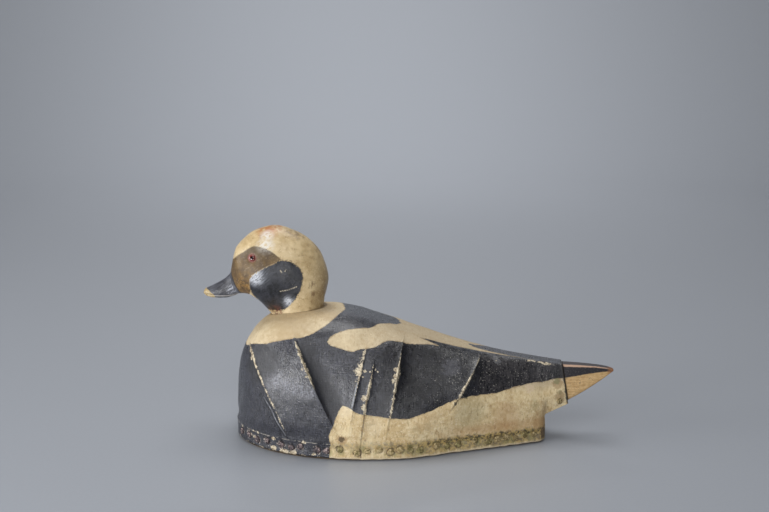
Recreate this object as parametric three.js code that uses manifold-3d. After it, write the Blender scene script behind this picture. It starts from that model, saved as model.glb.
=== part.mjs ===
// Long-tailed duck decoy: canvas stretched over raked hoops on a boat-shaped bottom board,
// with a carved wooden head and the wooden tail end of the centre board.
// Millimetres. The bill points to -X, the tail to +X and +Z is up. The origin is on the
// ground, under the middle of the whole length.

import * as THREE from 'three';
import { mergeVertices } from 'three/addons/utils/BufferGeometryUtils.js';
import Module from 'manifold-3d';

const wasm = await Module();
wasm.setup();

// Overall sizes
const BOW_X = -174;
const STERN_X = 138.5;
const BEAM_X = -46.5;
const HALF_BEAM = 81;
const HALF_STERN = 22;
const BOW_FULLNESS = 2.1;
const SEAM_TOP = { x: 154.5, z: 77.2 };
const SEAM_FOOT = { x: 161.5, half: 9, z: 36.5 };
const TAIL_TIP_X = 206;

// Board, canvas and clearances
const BOARD_AT_BOW = 17;
const BOARD_AT_STERN = 14;
const BOARD_EASE = 1.5;
const CANVAS = 1.2;
const GAP = 0.3;
const HEM_BOTTOM = 4.5;

// Half widths of the hem behind the widest place, out to the stern
const QUARTERS = [
  [BEAM_X, HALF_BEAM],
  [-1.5, 76],
  [23.5, 67.5],
  [43.5, 59],
  [88.5, 42],
  [STERN_X, HALF_STERN],
];

// Stations along the body. Whole numbers are the hoops, 0 is the bow and 7 the tail seam.
// foot is x on the board, top is x and z on the back, strip is the flat half width there,
// and full is the fullness of the section, where 2 is an ellipse.
const STATIONS = [
  { k: 0, foot: BOW_X, top: [BOW_X, 17], strip: 0, full: 2 },
  { k: 0.35, foot: -160, top: [-172.6, 48], strip: 2, full: 2.1 },
  { k: 0.7, foot: -133, top: [-168.5, 80], strip: 4, full: 2.2 },
  { k: 1, foot: -106, top: [-157, 106], strip: 8, full: 2.2 },
  { k: 1.5, foot: -81, top: [-138.5, 121.2], strip: 10, full: 2.4 },
  { k: 2, foot: -60, top: [-114.5, 128.2], strip: 14, full: 2.5 },
  { k: 2.4, foot: -58.5, top: [-81.5, 130.4], strip: 11, full: 2.5 },
  { k: 2.7, foot: -57.5, top: [-61.5, 129], strip: 10, full: 2.4 },
  { k: 3, foot: -56.5, top: [-35.5, 122.7], strip: 8, full: 2.4 },
  { k: 4, foot: -39.5, top: [-27.5, 120.1], strip: 8, full: 2.4 },
  { k: 5, foot: -19, top: [-2.5, 112.2], strip: 8, full: 2.3 },
  { k: 6, foot: 23.5, top: [73, 90.3], strip: 8, full: 2 },
  { k: 6.8, foot: STERN_X, top: [133.5, 80.2], strip: 8, full: 1.5 },
  { k: 7, foot: SEAM_FOOT.x, top: [SEAM_TOP.x, SEAM_TOP.z], strip: 7.5, full: 1.2 },
];
const STERN_K = 6.8;
const SEAM_K = 7;
const STERN_FACE_V = 2 / 11;

// The panels of canvas between the hoops, bow first: how far each sags and its grid rows
const PANELS = [
  { sag: 4, rows: 14 },
  { sag: 1.5, rows: 8 },
  { sag: 8, rows: 8 },
  { sag: 1.5, rows: 3 },
  { sag: 4, rows: 6 },
  { sag: 8, rows: 10 },
  { sag: 5, rows: 10 },
];
const GIRTH_STEPS = 11;

// Head: profile from the bill tip over the crown to the nape, and the line under it from
// the bill tip along the chin to the throat, each section joining one point of both.
// half is the half width, and low is how far below its middle the section is widest.
const HEAD_SECTIONS = [
  { over: [-206, 145.6], under: [-205.2, 144], half: 3.4, full: 2.2, low: 0 },
  { over: [-204.6, 148.4], under: [-202.4, 141.8], half: 6.6, full: 2.4, low: 0.1 },
  { over: [-197.6, 152], under: [-194.2, 140.4], half: 8.8, full: 2.5, low: 0.25 },
  { over: [-191.4, 155.2], under: [-185, 140.6], half: 9.4, full: 2.5, low: 0.3 },
  { over: [-184.3, 159.4], under: [-176.8, 142], half: 10, full: 2.5, low: 0.3 },
  { over: [-178.6, 165.2], under: [-170.2, 144.6], half: 11.4, full: 2.4, low: 0.25 },
  { over: [-177.9, 166.3], under: [-168.8, 145], half: 13.6, full: 2.3, low: 0.2 },
  { over: [-175.5, 178.1], under: [-163.3, 145.6], half: 18.6, full: 2.2, low: 0.2 },
  { over: [-172.2, 190.4], under: [-157.2, 144.2], half: 22.4, full: 2.2, low: 0.15 },
  { over: [-164.9, 199.6], under: [-153.2, 142.1], half: 25, full: 2.2, low: 0.15 },
  { over: [-152.6, 208.9], under: [-149.2, 139], half: 27, full: 2.2, low: 0.15 },
  { over: [-132.5, 214], under: [-144.3, 134], half: 28, full: 2.2, low: 0.15 },
  { over: [-107.7, 205.3], under: [-141.3, 129.9], half: 27.5, full: 2.2, low: 0.1 },
  { over: [-88, 183.2], under: [-139.4, 126.8], half: 25.5, full: 2.1, low: 0.05 },
  { over: [-81, 160], under: [-138, 124.8], half: 23.5, full: 2, low: 0 },
  { over: [-82, 135], under: [-137.4, 122.6], half: 22.8, full: 2, low: 0 },
  { over: [-82.6, 118], under: [-138, 110], half: 22.6, full: 2, low: 0 },
];
const HEAD_STEPS = 40;
const HEAD_SIDES = 26;

// Glass eyes
const EYE = { x: -152, z: 185.5, radius: 3.4, dome: 1.6, socket: 1.6, sides: 14 };

// Tail board: the rear end of the centre board beyond the canvas
const TAIL = {
  top: [[SEAM_TOP.x, 75.8], [180, 74.4], [198, 72.9], [TAIL_TIP_X, 70.8]],
  under: [[SEAM_FOOT.x, 38.5], [176, 47.2], [193, 59], [TAIL_TIP_X, 69.2]],
  halfAtSeam: 7.4,
  halfAtTip: 3.2,
  ease: 1.4,
  steps: 8,
};

// Copper tacks through the hem: places along the near side, and an even row beyond
const TACK = { radius: 3.8, dome: 1.4, sides: 8, lift: 0.35 };
const NEAR_TACKS_X = [
  -165, -155.5, -146.5, -135, -120.5, -110, -101, -84, -75, -62.5, -45.5, -36, -24.5, -13.5,
  -4.5, 5.5, 14.5, 30.5, 40.5, 51, 67.5, 81, 90, 98.5, 108, 117.5, 126.5,
];
const FAR_TACKS = 24;
const FAR_TACK_ENDS_X = [-163, 130];
const TACK_HEIGHT = { middle: 10, swing: 1.3, turn: 2.3 };
const SEAM_TACK = { k: 6.93, v: 0.22, lift: 0.75 };

const MATERIALS = {
  canvas: { color: 0x33343a, roughness: 0.5, metalness: 0 },
  board: { color: 0x4a4238, roughness: 0.8, metalness: 0 },
  head: { color: 0xc4ac80, roughness: 0.4, metalness: 0 },
  tail: { color: 0xb59a6a, roughness: 0.6, metalness: 0 },
  glass: { color: 0x2a0d0a, roughness: 0.1, metalness: 0 },
  copper: { color: 0x6a5a3c, roughness: 0.6, metalness: 0.6 },
};

// A smooth curve through [place, value] pairs that never swings past them: each piece is a
// cubic, and the slope at a pair is the weighted harmonic mean of the chords beside it.
function smooth(pairs) {
  const width = pairs.slice(1).map(([t], i) => t - pairs[i][0]);
  const chord = pairs.slice(1).map(([, y], i) => (y - pairs[i][1]) / width[i]);
  const slope = pairs.map((_, i) => {
    if (i === 0) return chord[0];
    if (i === chord.length) return chord[i - 1];
    if (chord[i - 1] * chord[i] <= 0) return 0;
    const before = 2 * width[i] + width[i - 1];
    const after = width[i] + 2 * width[i - 1];
    return (before + after) / (before / chord[i - 1] + after / chord[i]);
  });
  return (t) => {
    const at = THREE.MathUtils.clamp(t, pairs[0][0], pairs.at(-1)[0]);
    let i = 0;
    while (i < chord.length - 1 && at > pairs[i + 1][0]) i += 1;
    const s = (at - pairs[i][0]) / width[i];
    const start = pairs[i][1] * (1 + 2 * s) + slope[i] * width[i] * s;
    const end = pairs[i + 1][1] * (3 - 2 * s) - slope[i + 1] * width[i] * (1 - s);
    return start * (1 - s) ** 2 + end * s ** 2;
  };
}

const column = (rows, key, pick) => smooth(rows.map((row) => [row[key], pick(row)]));
const footX = column(STATIONS, 'k', (s) => s.foot);
const profile = profileOf(STATIONS.map((s) => s.top));
const profileAt = smooth(STATIONS.map((s, i) => [s.k, profile.lengths[i]]));
const stripHalf = column(STATIONS, 'k', (s) => s.strip);
const fullness = column(STATIONS, 'k', (s) => s.full);
const quarter = smooth(QUARTERS);

// A profile line through [x, z] points, smooth along its own length
function profileOf(points) {
  const lengths = [0];
  points.slice(1).forEach(([x, z], i) => {
    lengths.push(lengths[i] + Math.hypot(x - points[i][0], z - points[i][1]));
  });
  const x = smooth(points.map((point, i) => [lengths[i], point[0]]));
  const z = smooth(points.map((point, i) => [lengths[i], point[1]]));
  return { lengths, at: (length) => ({ x: x(length), z: z(length) }) };
}

// Half width of the hem at x: a blunt rounded bow, then straight long quarters to the stern
function halfWidth(x) {
  if (x > BEAM_X) return quarter(x);
  const ahead = Math.min(1, (BEAM_X - x) / (BEAM_X - BOW_X));
  return HALF_BEAM * (1 - ahead ** BOW_FULLNESS) ** (1 / BOW_FULLNESS);
}

// Height of the board's upper face, which falls a little towards the stern
function boardTop(x) {
  const along = THREE.MathUtils.clamp((x - BOW_X) / (STERN_X - BOW_X), 0, 1);
  return THREE.MathUtils.lerp(BOARD_AT_BOW, BOARD_AT_STERN, along);
}

// Where the canvas leaves the board at station k
function foot(k) {
  if (k >= SEAM_K) return SEAM_FOOT;
  return { x: footX(k), half: halfWidth(footX(k)), z: boardTop(footX(k)) };
}

// Section at station k: a superellipse quadrant on the near side, from the foot at v = 0 to
// the edge of the back strip at v = 1.
function section(k, v, start = foot(k)) {
  const angle = (v * Math.PI) / 2;
  const power = 2 / fullness(k);
  const up = Math.sin(angle) ** power;
  const out = Math.cos(angle) ** power;
  const strip = Math.min(stripHalf(k), start.half);
  const top = profile.at(profileAt(k));
  return new THREE.Vector3(
    THREE.MathUtils.lerp(start.x, top.x, up),
    -(strip + (start.half - strip) * out),
    THREE.MathUtils.lerp(start.z, top.z, up),
  );
}

// The taut form. Behind the stern it is ruled straight from the stern section to the seam,
// and starts from the top of the small upright face across the stern.
function taut(k, v, start) {
  if (k <= STERN_K) return section(k, v, start);
  const along = (k - STERN_K) / (SEAM_K - STERN_K);
  return section(STERN_K, Math.max(v, STERN_FACE_V)).lerp(section(SEAM_K, v), along);
}

// Inward sag: a parabola between neighbouring hoops, dying out at the board and the back
function sag(k, v) {
  const panel = Math.min(Math.floor(k), PANELS.length - 1);
  const across = k - panel;
  const girth = THREE.MathUtils.smoothstep(v, 0, 0.32) * (1 - THREE.MathUtils.smoothstep(v, 0.7, 1));
  return PANELS[panel].sag * 4 * across * (1 - across) * girth;
}

// Outward direction of the taut form, from the cross product of its two tangents
function outward(k, v) {
  const reach = 0.01;
  const inside = Math.max(k, 0.02);
  const ahead = Math.max(k - reach, 0.02);
  const behind = Math.min(k + reach, SEAM_K);
  const lower = Math.max(v - reach, 0.01);
  const upper = Math.min(v + reach, 0.99);
  const along = taut(behind, v).sub(taut(ahead, v));
  const around = taut(inside, upper).sub(taut(inside, lower));
  return along.cross(around).normalize();
}

function canvasPoint(k, v, grow, start) {
  const shift = k > 0 ? grow - sag(k, v) : 0;
  return taut(k, v, start).addScaledVector(outward(k, v), shift);
}

// Skin over a row of rings that hold equally many points. Caps close the first and last
// ring from its middle, and triangles that have shrunk to nothing are left out.
function skin(rings, capFirst, capLast) {
  const points = rings.flat();
  const sides = rings[0].length;
  const triangles = [];
  for (let row = 0; row + 1 < rings.length; row += 1) {
    for (let side = 0; side < sides; side += 1) {
      const a = row * sides + side;
      const b = row * sides + ((side + 1) % sides);
      triangles.push([a, b, b + sides], [a, b + sides, a + sides]);
    }
  }
  const cap = (row, flip) => {
    const middle = new THREE.Vector3();
    rings[row].forEach((point) => middle.addScaledVector(point, 1 / sides));
    const centre = points.push(middle) - 1;
    for (let side = 0; side < sides; side += 1) {
      const a = row * sides + side;
      const b = row * sides + ((side + 1) % sides);
      triangles.push(flip ? [a, centre, b] : [a, b, centre]);
    }
  };
  if (capFirst) cap(0, true);
  if (capLast) cap(rings.length - 1, false);
  const loose = new THREE.BufferGeometry().setFromPoints(points);
  loose.setIndex(triangles.flat());
  return closed(loose);
}

// Merges what meets, drops triangles that have shrunk to nothing and faces the rest outwards
function closed(loose) {
  const geometry = mergeVertices(loose, 1e-3);
  const index = geometry.index.array;
  const place = geometry.attributes.position;
  const corner = [0, 1, 2].map(() => new THREE.Vector3());
  const kept = [];
  let volume = 0;
  for (let i = 0; i < index.length; i += 3) {
    const [a, b, c] = index.slice(i, i + 3);
    if (a === b || b === c || c === a) continue;
    kept.push(a, b, c);
    [a, b, c].forEach((vertex, j) => corner[j].fromBufferAttribute(place, vertex));
    volume += corner[0].dot(corner[1].clone().cross(corner[2]));
  }
  geometry.setIndex(volume > 0 ? kept : kept.reverse());
  return geometry;
}

const mirrored = (point) => new THREE.Vector3(point.x, -point.y, point.z);

// Point of the hem's outline moved inwards by a distance, square to the outline
function inset(x, distance) {
  const step = 0.05;
  const ahead = Math.max(x - step, BOW_X);
  const behind = Math.min(x + step, STERN_X);
  const along = new THREE.Vector2(behind - ahead, halfWidth(ahead) - halfWidth(behind)).normalize();
  const moved = new THREE.Vector2(x - along.y * distance, -halfWidth(x) + along.x * distance);
  moved.y = Math.min(moved.y, 0);
  if (distance > 0 && x >= STERN_X - CANVAS) moved.x = STERN_X - distance;
  if (x <= BOW_X) moved.set(BOW_X + distance, 0);
  return moved;
}

// One ring of the canvas. depth says how the pocket for the board looks there: 'pocket'
// with the board inside, 'flap' solid down to the hem, and 'open' nothing below the foot.
function canvasRing(k, depth, grow, start = foot(k)) {
  const side = [];
  for (let j = 0; j <= GIRTH_STEPS; j += 1) side.push(canvasPoint(k, j / GIRTH_STEPS, grow, start));
  const hem = inset(start.x, -grow);
  const lining = inset(start.x, CANVAS);
  const bottom = depth === 'open' ? start.z : HEM_BOTTOM;
  const roof = depth === 'pocket' ? boardTop(lining.x) + GAP : bottom;
  const outer = depth === 'open' ? side[0] : new THREE.Vector3(hem.x, hem.y, bottom);
  const inner = depth === 'open' ? side[0] : new THREE.Vector3(lining.x, lining.y, bottom);
  const corner = depth === 'open' ? side[0] : new THREE.Vector3(lining.x, lining.y, roof);
  const near = [corner, inner, outer, ...side];
  return [...near, ...near.map(mirrored).reverse()];
}

// Stations of the rings from the bow to the stern, closer together beside each hoop
function hullStations() {
  const stations = [];
  PANELS.forEach(({ rows }, panel) => {
    for (let i = 0; i < rows; i += 1) stations.push(panel + (1 - Math.cos((Math.PI * i) / rows)) / 2);
  });
  return stations.filter((k) => k < STERN_K - 0.02);
}

function canvasBody(grow = 0) {
  const rings = hullStations().map((k) => canvasRing(k, 'pocket', grow));
  const stern = foot(STERN_K);
  const inside = { ...stern, x: STERN_X - CANVAS };
  rings.push(canvasRing(STERN_K, 'pocket', grow, inside));
  rings.push(canvasRing(STERN_K, 'flap', grow, inside));
  rings.push(canvasRing(STERN_K, 'flap', grow, stern));
  rings.push(canvasRing(STERN_K, 'open', grow, stern));
  [0.001, 0.25, 0.5, 0.75, 1].forEach((step) => {
    const k = STERN_K + (SEAM_K - STERN_K) * step;
    rings.push(canvasRing(k, 'open', grow));
  });
  return skin(rings, false, true);
}

// Bottom board: the hem's outline less the canvas and a gap, with eased lower edges
function bottomBoard() {
  const ring = (x) => {
    const edge = inset(x, CANVAS + GAP);
    const eased = inset(x, CANVAS + GAP + BOARD_EASE);
    eased.x = x < STERN_X ? eased.x : edge.x;
    const top = boardTop(edge.x);
    const near = [
      new THREE.Vector3(eased.x, eased.y, 0),
      new THREE.Vector3(edge.x, edge.y, BOARD_EASE),
      new THREE.Vector3(edge.x, edge.y, top),
    ];
    return [...near, ...near.map(mirrored).reverse()];
  };
  const stations = [...hullStations(), STERN_K];
  return skin(stations.map((k) => ring(footX(k))), false, true);
}

// Head and neck: oval sections that fan round the throat from the bill tip to the neck foot
const sectionPlaces = HEAD_SECTIONS.map((section, i) => ({ ...section, i }));
const headCurve = (pick) => column(sectionPlaces, 'i', pick);
const overX = headCurve((s) => s.over[0]);
const overZ = headCurve((s) => s.over[1]);
const underX = headCurve((s) => s.under[0]);
const underZ = headCurve((s) => s.under[1]);
const headHalf = headCurve((s) => s.half);
const headFull = headCurve((s) => s.full);
const headLow = headCurve((s) => s.low);

function headPoint(place, angle) {
  const power = 2 / headFull(place);
  const rise = Math.sign(Math.cos(angle)) * Math.abs(Math.cos(angle)) ** power;
  const width = Math.sign(Math.sin(angle)) * Math.abs(Math.sin(angle)) ** power;
  const height = 0.5 + 0.5 * (rise - headLow(place) * width * width);
  return new THREE.Vector3(
    THREE.MathUtils.lerp(underX(place), overX(place), height),
    -headHalf(place) * width,
    THREE.MathUtils.lerp(underZ(place), overZ(place), height),
  );
}

function headBlank() {
  const rings = [];
  const last = HEAD_SECTIONS.length - 1;
  for (let row = 0; row <= HEAD_STEPS; row += 1) {
    const ring = [];
    for (let side = 0; side < HEAD_SIDES; side += 1) {
      ring.push(headPoint((last * row) / HEAD_STEPS, (2 * Math.PI * side) / HEAD_SIDES));
    }
    rings.push(ring);
  }
  return skin(rings, true, true);
}

function solid(geometry) {
  const bare = geometry.index ? geometry : mergeVertices(geometry);
  return new wasm.Manifold(new wasm.Mesh({
    numProp: 3,
    vertProperties: new Float32Array(bare.attributes.position.array),
    triVerts: new Uint32Array(bare.index.array),
  }));
}

function geometryOf(manifold) {
  const mesh = manifold.getMesh();
  const geometry = new THREE.BufferGeometry();
  geometry.setAttribute('position', new THREE.BufferAttribute(mesh.vertProperties, 3));
  geometry.setIndex(new THREE.BufferAttribute(mesh.triVerts, 1));
  return geometry;
}

// A low dome on a flat or sunk base, turned about +Z: an eye, a socket or a tack head
function dome(radius, height, sunk, sides) {
  const profile = [new THREE.Vector2(0, -sunk), new THREE.Vector2(radius, -sunk)];
  if (sunk > 0) profile.push(new THREE.Vector2(radius, 0));
  const shoulder = Math.PI / 3.5;
  profile.push(new THREE.Vector2(radius * Math.cos(shoulder), height * Math.sin(shoulder)));
  profile.push(new THREE.Vector2(0, height));
  const geometry = new THREE.LatheGeometry(profile, sides);
  geometry.deleteAttribute('normal');
  geometry.deleteAttribute('uv');
  geometry.rotateX(Math.PI / 2);
  return closed(geometry);
}

// Turns a geometry from +Z to a direction and moves it to a point
function aimed(geometry, point, direction) {
  const turn = new THREE.Quaternion().setFromUnitVectors(new THREE.Vector3(0, 0, 1), direction);
  return geometry.applyQuaternion(turn).translate(point.x, point.y, point.z);
}

// Place and outward direction on the near side of the head at a given x and z
function onHead(x, z) {
  let best = { distance: Infinity };
  for (let place = 6; place < 14; place += 0.02) {
    for (let angle = 0.1; angle < 3; angle += 0.02) {
      const point = headPoint(place, angle);
      const distance = Math.hypot(point.x - x, point.z - z);
      if (distance < best.distance) best = { distance, place, angle, point };
    }
  }
  const small = 0.01;
  const along = headPoint(best.place + small, best.angle).sub(best.point);
  const around = headPoint(best.place, best.angle + small).sub(best.point);
  return { point: best.point, direction: around.cross(along).normalize() };
}

// Tail board: a wedge with eased edges, thin at the tip
function tailBoard() {
  const top = smooth(TAIL.top);
  const under = smooth(TAIL.under);
  const lean = (SEAM_TOP.x - SEAM_FOOT.x) / (SEAM_TOP.z - SEAM_FOOT.z);
  const seamX = (z) => SEAM_FOOT.x + lean * (z - SEAM_FOOT.z) + GAP;
  const rings = [];
  for (let i = 0; i <= TAIL.steps; i += 1) {
    const along = i / TAIL.steps;
    const x = THREE.MathUtils.lerp(seamX(TAIL.top[0][1]), TAIL_TIP_X, along);
    const xUnder = THREE.MathUtils.lerp(seamX(TAIL.under[0][1]), TAIL_TIP_X, along);
    const half = THREE.MathUtils.lerp(TAIL.halfAtSeam, TAIL.halfAtTip, along ** 1.5);
    const upper = top(x);
    const lower = under(xUnder);
    const ease = Math.min(TAIL.ease, (upper - lower) / 3);
    const near = [
      new THREE.Vector3(xUnder, -(half - ease), lower),
      new THREE.Vector3(xUnder, -half, lower + ease),
      new THREE.Vector3(x, -half, upper - ease),
      new THREE.Vector3(x, -(half - ease), upper),
    ];
    rings.push([...near, ...near.map(mirrored).reverse()]);
  }
  return skin(rings, true, true);
}

// A tack head square to the hem at x, on the near side, or mirrored on the far side. The
// heads stand in an uneven row, a little higher or lower from one to the next.
function tack(x, i, far) {
  const edge = inset(x, -TACK.lift);
  const surface = inset(x, 0);
  const direction = new THREE.Vector3(edge.x - surface.x, edge.y - surface.y, 0).normalize();
  const z = TACK_HEIGHT.middle + TACK_HEIGHT.swing * Math.sin(TACK_HEIGHT.turn * i);
  const point = new THREE.Vector3(edge.x, edge.y, z);
  const head = dome(TACK.radius, TACK.dome, 0, TACK.sides);
  if (far) return aimed(head, mirrored(point), mirrored(direction));
  return aimed(head, point, direction);
}

// The tack that holds the canvas to the centre board, low on each side of the seam
function seamTack(far) {
  const direction = outward(SEAM_TACK.k, SEAM_TACK.v);
  const point = canvasPoint(SEAM_TACK.k, SEAM_TACK.v, SEAM_TACK.lift);
  const head = dome(TACK.radius, TACK.dome, 0, TACK.sides);
  if (far) return aimed(head, mirrored(point), mirrored(direction));
  return aimed(head, point, direction);
}

const decoy = new THREE.Group();

function add(name, geometry, look) {
  const mesh = new THREE.Mesh(geometry, new THREE.MeshStandardMaterial(MATERIALS[look]));
  mesh.name = name;
  decoy.add(mesh);
}

const eyeSeat = onHead(EYE.x, EYE.z);
const eyeSides = [eyeSeat, { point: mirrored(eyeSeat.point), direction: mirrored(eyeSeat.direction) }];
let head = solid(headBlank()).subtract(solid(canvasBody(GAP)));
eyeSides.forEach(({ point, direction }) => {
  const socket = dome(EYE.radius + GAP, 2, EYE.socket + GAP, EYE.sides);
  head = head.subtract(solid(aimed(socket, point, direction)));
});

add('bottom_board', bottomBoard(), 'board');
add('canvas_body', canvasBody(), 'canvas');
add('head', geometryOf(head), 'head');
add('tail_board', tailBoard(), 'tail');
['eye_left', 'eye_right'].forEach((name, i) => {
  const { point, direction } = eyeSides[i];
  add(name, aimed(dome(EYE.radius, EYE.dome, EYE.socket, EYE.sides), point, direction), 'glass');
});

let tackNumber = 0;
function addTack(geometry) {
  tackNumber += 1;
  add(`tack_${String(tackNumber).padStart(2, '0')}`, geometry, 'copper');
}
NEAR_TACKS_X.forEach((x, i) => addTack(tack(x, i, false)));
for (let i = 0; i < FAR_TACKS; i += 1) {
  addTack(tack(THREE.MathUtils.lerp(...FAR_TACK_ENDS_X, i / (FAR_TACKS - 1)), i, true));
}
addTack(seamTack(false));
addTack(seamTack(true));

export default decoy;
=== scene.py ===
# %% [markdown]
# # A long-tailed duck decoy of canvas on a wooden frame
# The real object is a working decoy. Painted canvas is stretched over raked hoops and
# tacked round a boat-shaped bottom board, and a carved head stands on top. Here every
# skin is worked out again with numpy on a fine grid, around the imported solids. Each
# length of the decoy is in millimetres here, and it is made metres when a mesh is
# filled. The camera and the lamps are placed in metres.

import bpy
import numpy as np
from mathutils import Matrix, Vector


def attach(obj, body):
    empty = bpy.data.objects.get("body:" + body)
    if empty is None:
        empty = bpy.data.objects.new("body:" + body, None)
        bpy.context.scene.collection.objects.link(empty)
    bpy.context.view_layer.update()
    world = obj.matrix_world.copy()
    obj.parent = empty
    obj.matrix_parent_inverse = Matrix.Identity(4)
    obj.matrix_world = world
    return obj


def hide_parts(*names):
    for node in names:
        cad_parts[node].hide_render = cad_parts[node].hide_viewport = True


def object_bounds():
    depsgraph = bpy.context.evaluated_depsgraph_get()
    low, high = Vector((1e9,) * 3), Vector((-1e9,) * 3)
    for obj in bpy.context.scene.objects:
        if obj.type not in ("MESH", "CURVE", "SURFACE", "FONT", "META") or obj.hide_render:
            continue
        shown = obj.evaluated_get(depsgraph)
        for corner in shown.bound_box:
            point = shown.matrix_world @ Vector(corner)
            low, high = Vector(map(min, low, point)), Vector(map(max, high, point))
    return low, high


MM = 0.001

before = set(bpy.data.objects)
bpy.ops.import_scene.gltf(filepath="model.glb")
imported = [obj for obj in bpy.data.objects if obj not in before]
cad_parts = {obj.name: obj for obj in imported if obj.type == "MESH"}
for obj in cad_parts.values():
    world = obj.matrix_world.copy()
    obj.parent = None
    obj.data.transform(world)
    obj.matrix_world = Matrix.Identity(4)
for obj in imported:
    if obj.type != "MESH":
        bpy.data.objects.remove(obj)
solid_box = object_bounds()


def reach(box):
    """The lowest and the highest corner of a box in metres, in words."""
    low, high = ([round(c, 4) for c in corner] for corner in box)
    return f"from {low} to {high}"


print("the solids reach", reach(solid_box))

# %% [markdown]
# ## The camera
# The photograph looks a little down on the decoy's left side. Where the bow, the stern
# and the tail tip fall in the picture gives the camera's height and tilt. The real lens
# isn't known, and a 50 mm lens stands in for it. A camera looks along its own -Z, so a
# tilt of 90 degrees would be level.

# %% Camera
CAMERA_AT = (0.0307, -1.0368, 0.4)
CAMERA_DOWN = 11.76
CAMERA_TURN = 3.0

lens = bpy.data.cameras.new("camera")
lens.lens = 50
camera = bpy.data.objects.new("camera", lens)
camera.location = CAMERA_AT
camera.rotation_euler = np.radians([90 - CAMERA_DOWN, 0, CAMERA_TURN])
bpy.context.collection.objects.link(camera)
bpy.context.scene.camera = camera
print("camera at", CAMERA_AT)

# %% [markdown]
# ## Curves that never swing past their points
# A hull is faired with a thin batten bent round a few nails. Blender's own curves could
# do that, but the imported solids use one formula, and the skins have to lie on them. So
# the same batten is written here: cubics between the points, with each slope taken as
# the weighted harmonic mean of the two chords beside it.

# %% Battens, blends and steps


def batten(places, values):
    """Returns the smooth curve through (place, value) pairs: a cubic between neighbours,
    whose slope at a pair is the weighted harmonic mean of the two chords there, or zero
    at a peak."""
    places = np.asarray(places, float)
    values = np.asarray(values, float)
    width = np.diff(places)
    chord = np.diff(values) / width
    rising = chord[:-1] * chord[1:] > 0
    before = 2 * width[1:] + width[:-1]
    after = width[1:] + 2 * width[:-1]
    spread = before / np.where(rising, chord[:-1], 1) + after / np.where(rising, chord[1:], 1)
    inner = np.where(rising, (before + after) / spread, 0)
    slope = np.concatenate([chord[:1], inner, chord[-1:]])

    def at(place):
        place = np.clip(place, places[0], places[-1])
        i = np.clip(np.searchsorted(places, place, side="right") - 1, 0, len(width) - 1)
        s = (place - places[i]) / width[i]
        start = values[i] * (1 + 2 * s) + slope[i] * width[i] * s
        end = values[i + 1] * (3 - 2 * s) - slope[i + 1] * width[i] * (1 - s)
        return start * (1 - s) ** 2 + end * s**2

    return at


def between(a, b, share):
    """The point that lies the given share of the way from a to b."""
    return a + (b - a) * share


def ease(value, low, high):
    """Rises smoothly from 0 at low to 1 at high, as 3s squared less 2s cubed."""
    s = np.clip((value - low) / (high - low), 0, 1)
    return s * s * (3 - 2 * s)


def bell(distance, width):
    """A bell curve, 1 at distance 0: e to the power of minus the squared distance in widths."""
    return np.exp(-((distance / width) ** 2))


def ripple(points, size, seed, waves=14):
    """Soft lumps about size mm across: the mean of sine waves that cross the points in
    random directions, each with its own start and a length near the size."""
    draw = np.random.default_rng(seed)
    heading = draw.normal(size=(waves, 3))
    heading /= np.linalg.norm(heading, axis=1, keepdims=True)
    heading *= 2 * np.pi / (size * draw.uniform(0.7, 1.5, (waves, 1)))
    start = draw.uniform(0, 2 * np.pi, waves)
    return np.sin(points @ heading.T + start).mean(-1) * np.sqrt(waves) / 2


print("a batten through 0, 1, 1 stays level at its end:", batten([0, 1, 2], [0, 1, 1])(1.5))

# %% [markdown]
# ## From a grid of points to a closed skin
# Most pieces are rings of points, one after the other. Blender could bridge them with
# bmesh, but whole arrays are faster: one array holds all corners, and the faces are
# counted out from row and column numbers. Where a ring shrinks to a point or folds flat,
# equal corners are welded and the faces that have lost their area are dropped.

# %% Skins


def weld(points, triangles):
    """Gives points that meet one number and leaves out triangles that use one twice."""
    key = np.round(points * 2000).astype(np.int64)
    _, first, number = np.unique(key, axis=0, return_index=True, return_inverse=True)
    triangles = number.ravel()[triangles]
    a, b, c = triangles.T
    return first, triangles[(a != b) & (b != c) & (c != a)]


def skin(rings, cap_first=False, cap_last=False):
    """Triangles over a grid of rings: two for each cell, and a fan from the middle of the
    first or the last ring where that end is capped. Returns the points, the triangles,
    and for each point its number in the grid."""
    rows, sides = rings.shape[:2]
    points = rings.reshape(-1, 3)
    number = np.arange(rows * sides).reshape(rows, sides)
    a, b = number[:-1], np.roll(number, -1, axis=1)[:-1]
    c, d = np.roll(number, -1, axis=1)[1:], number[1:]
    triangles = [np.stack([a, b, c], -1).reshape(-1, 3), np.stack([a, c, d], -1).reshape(-1, 3)]
    source = np.arange(len(points))
    for wanted, row in ((cap_first, 0), (cap_last, rows - 1)):
        if not wanted:
            continue
        rim = number[row]
        centre = np.full(sides, len(points))
        points = np.vstack([points, points[rim].mean(0)])
        source = np.append(source, rim[0])
        triangles.append(np.stack([rim, np.roll(rim, -1), centre], -1)[:, :: 1 if row else -1])
    kept, triangles = weld(points, np.vstack(triangles))
    return points[kept], triangles, source[kept]


def volume(points, triangles):
    """Six times the space inside, which is negative if the faces point inwards."""
    a, b, c = points[triangles].transpose(1, 0, 2)
    return (a * np.cross(b, c)).sum()


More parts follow.
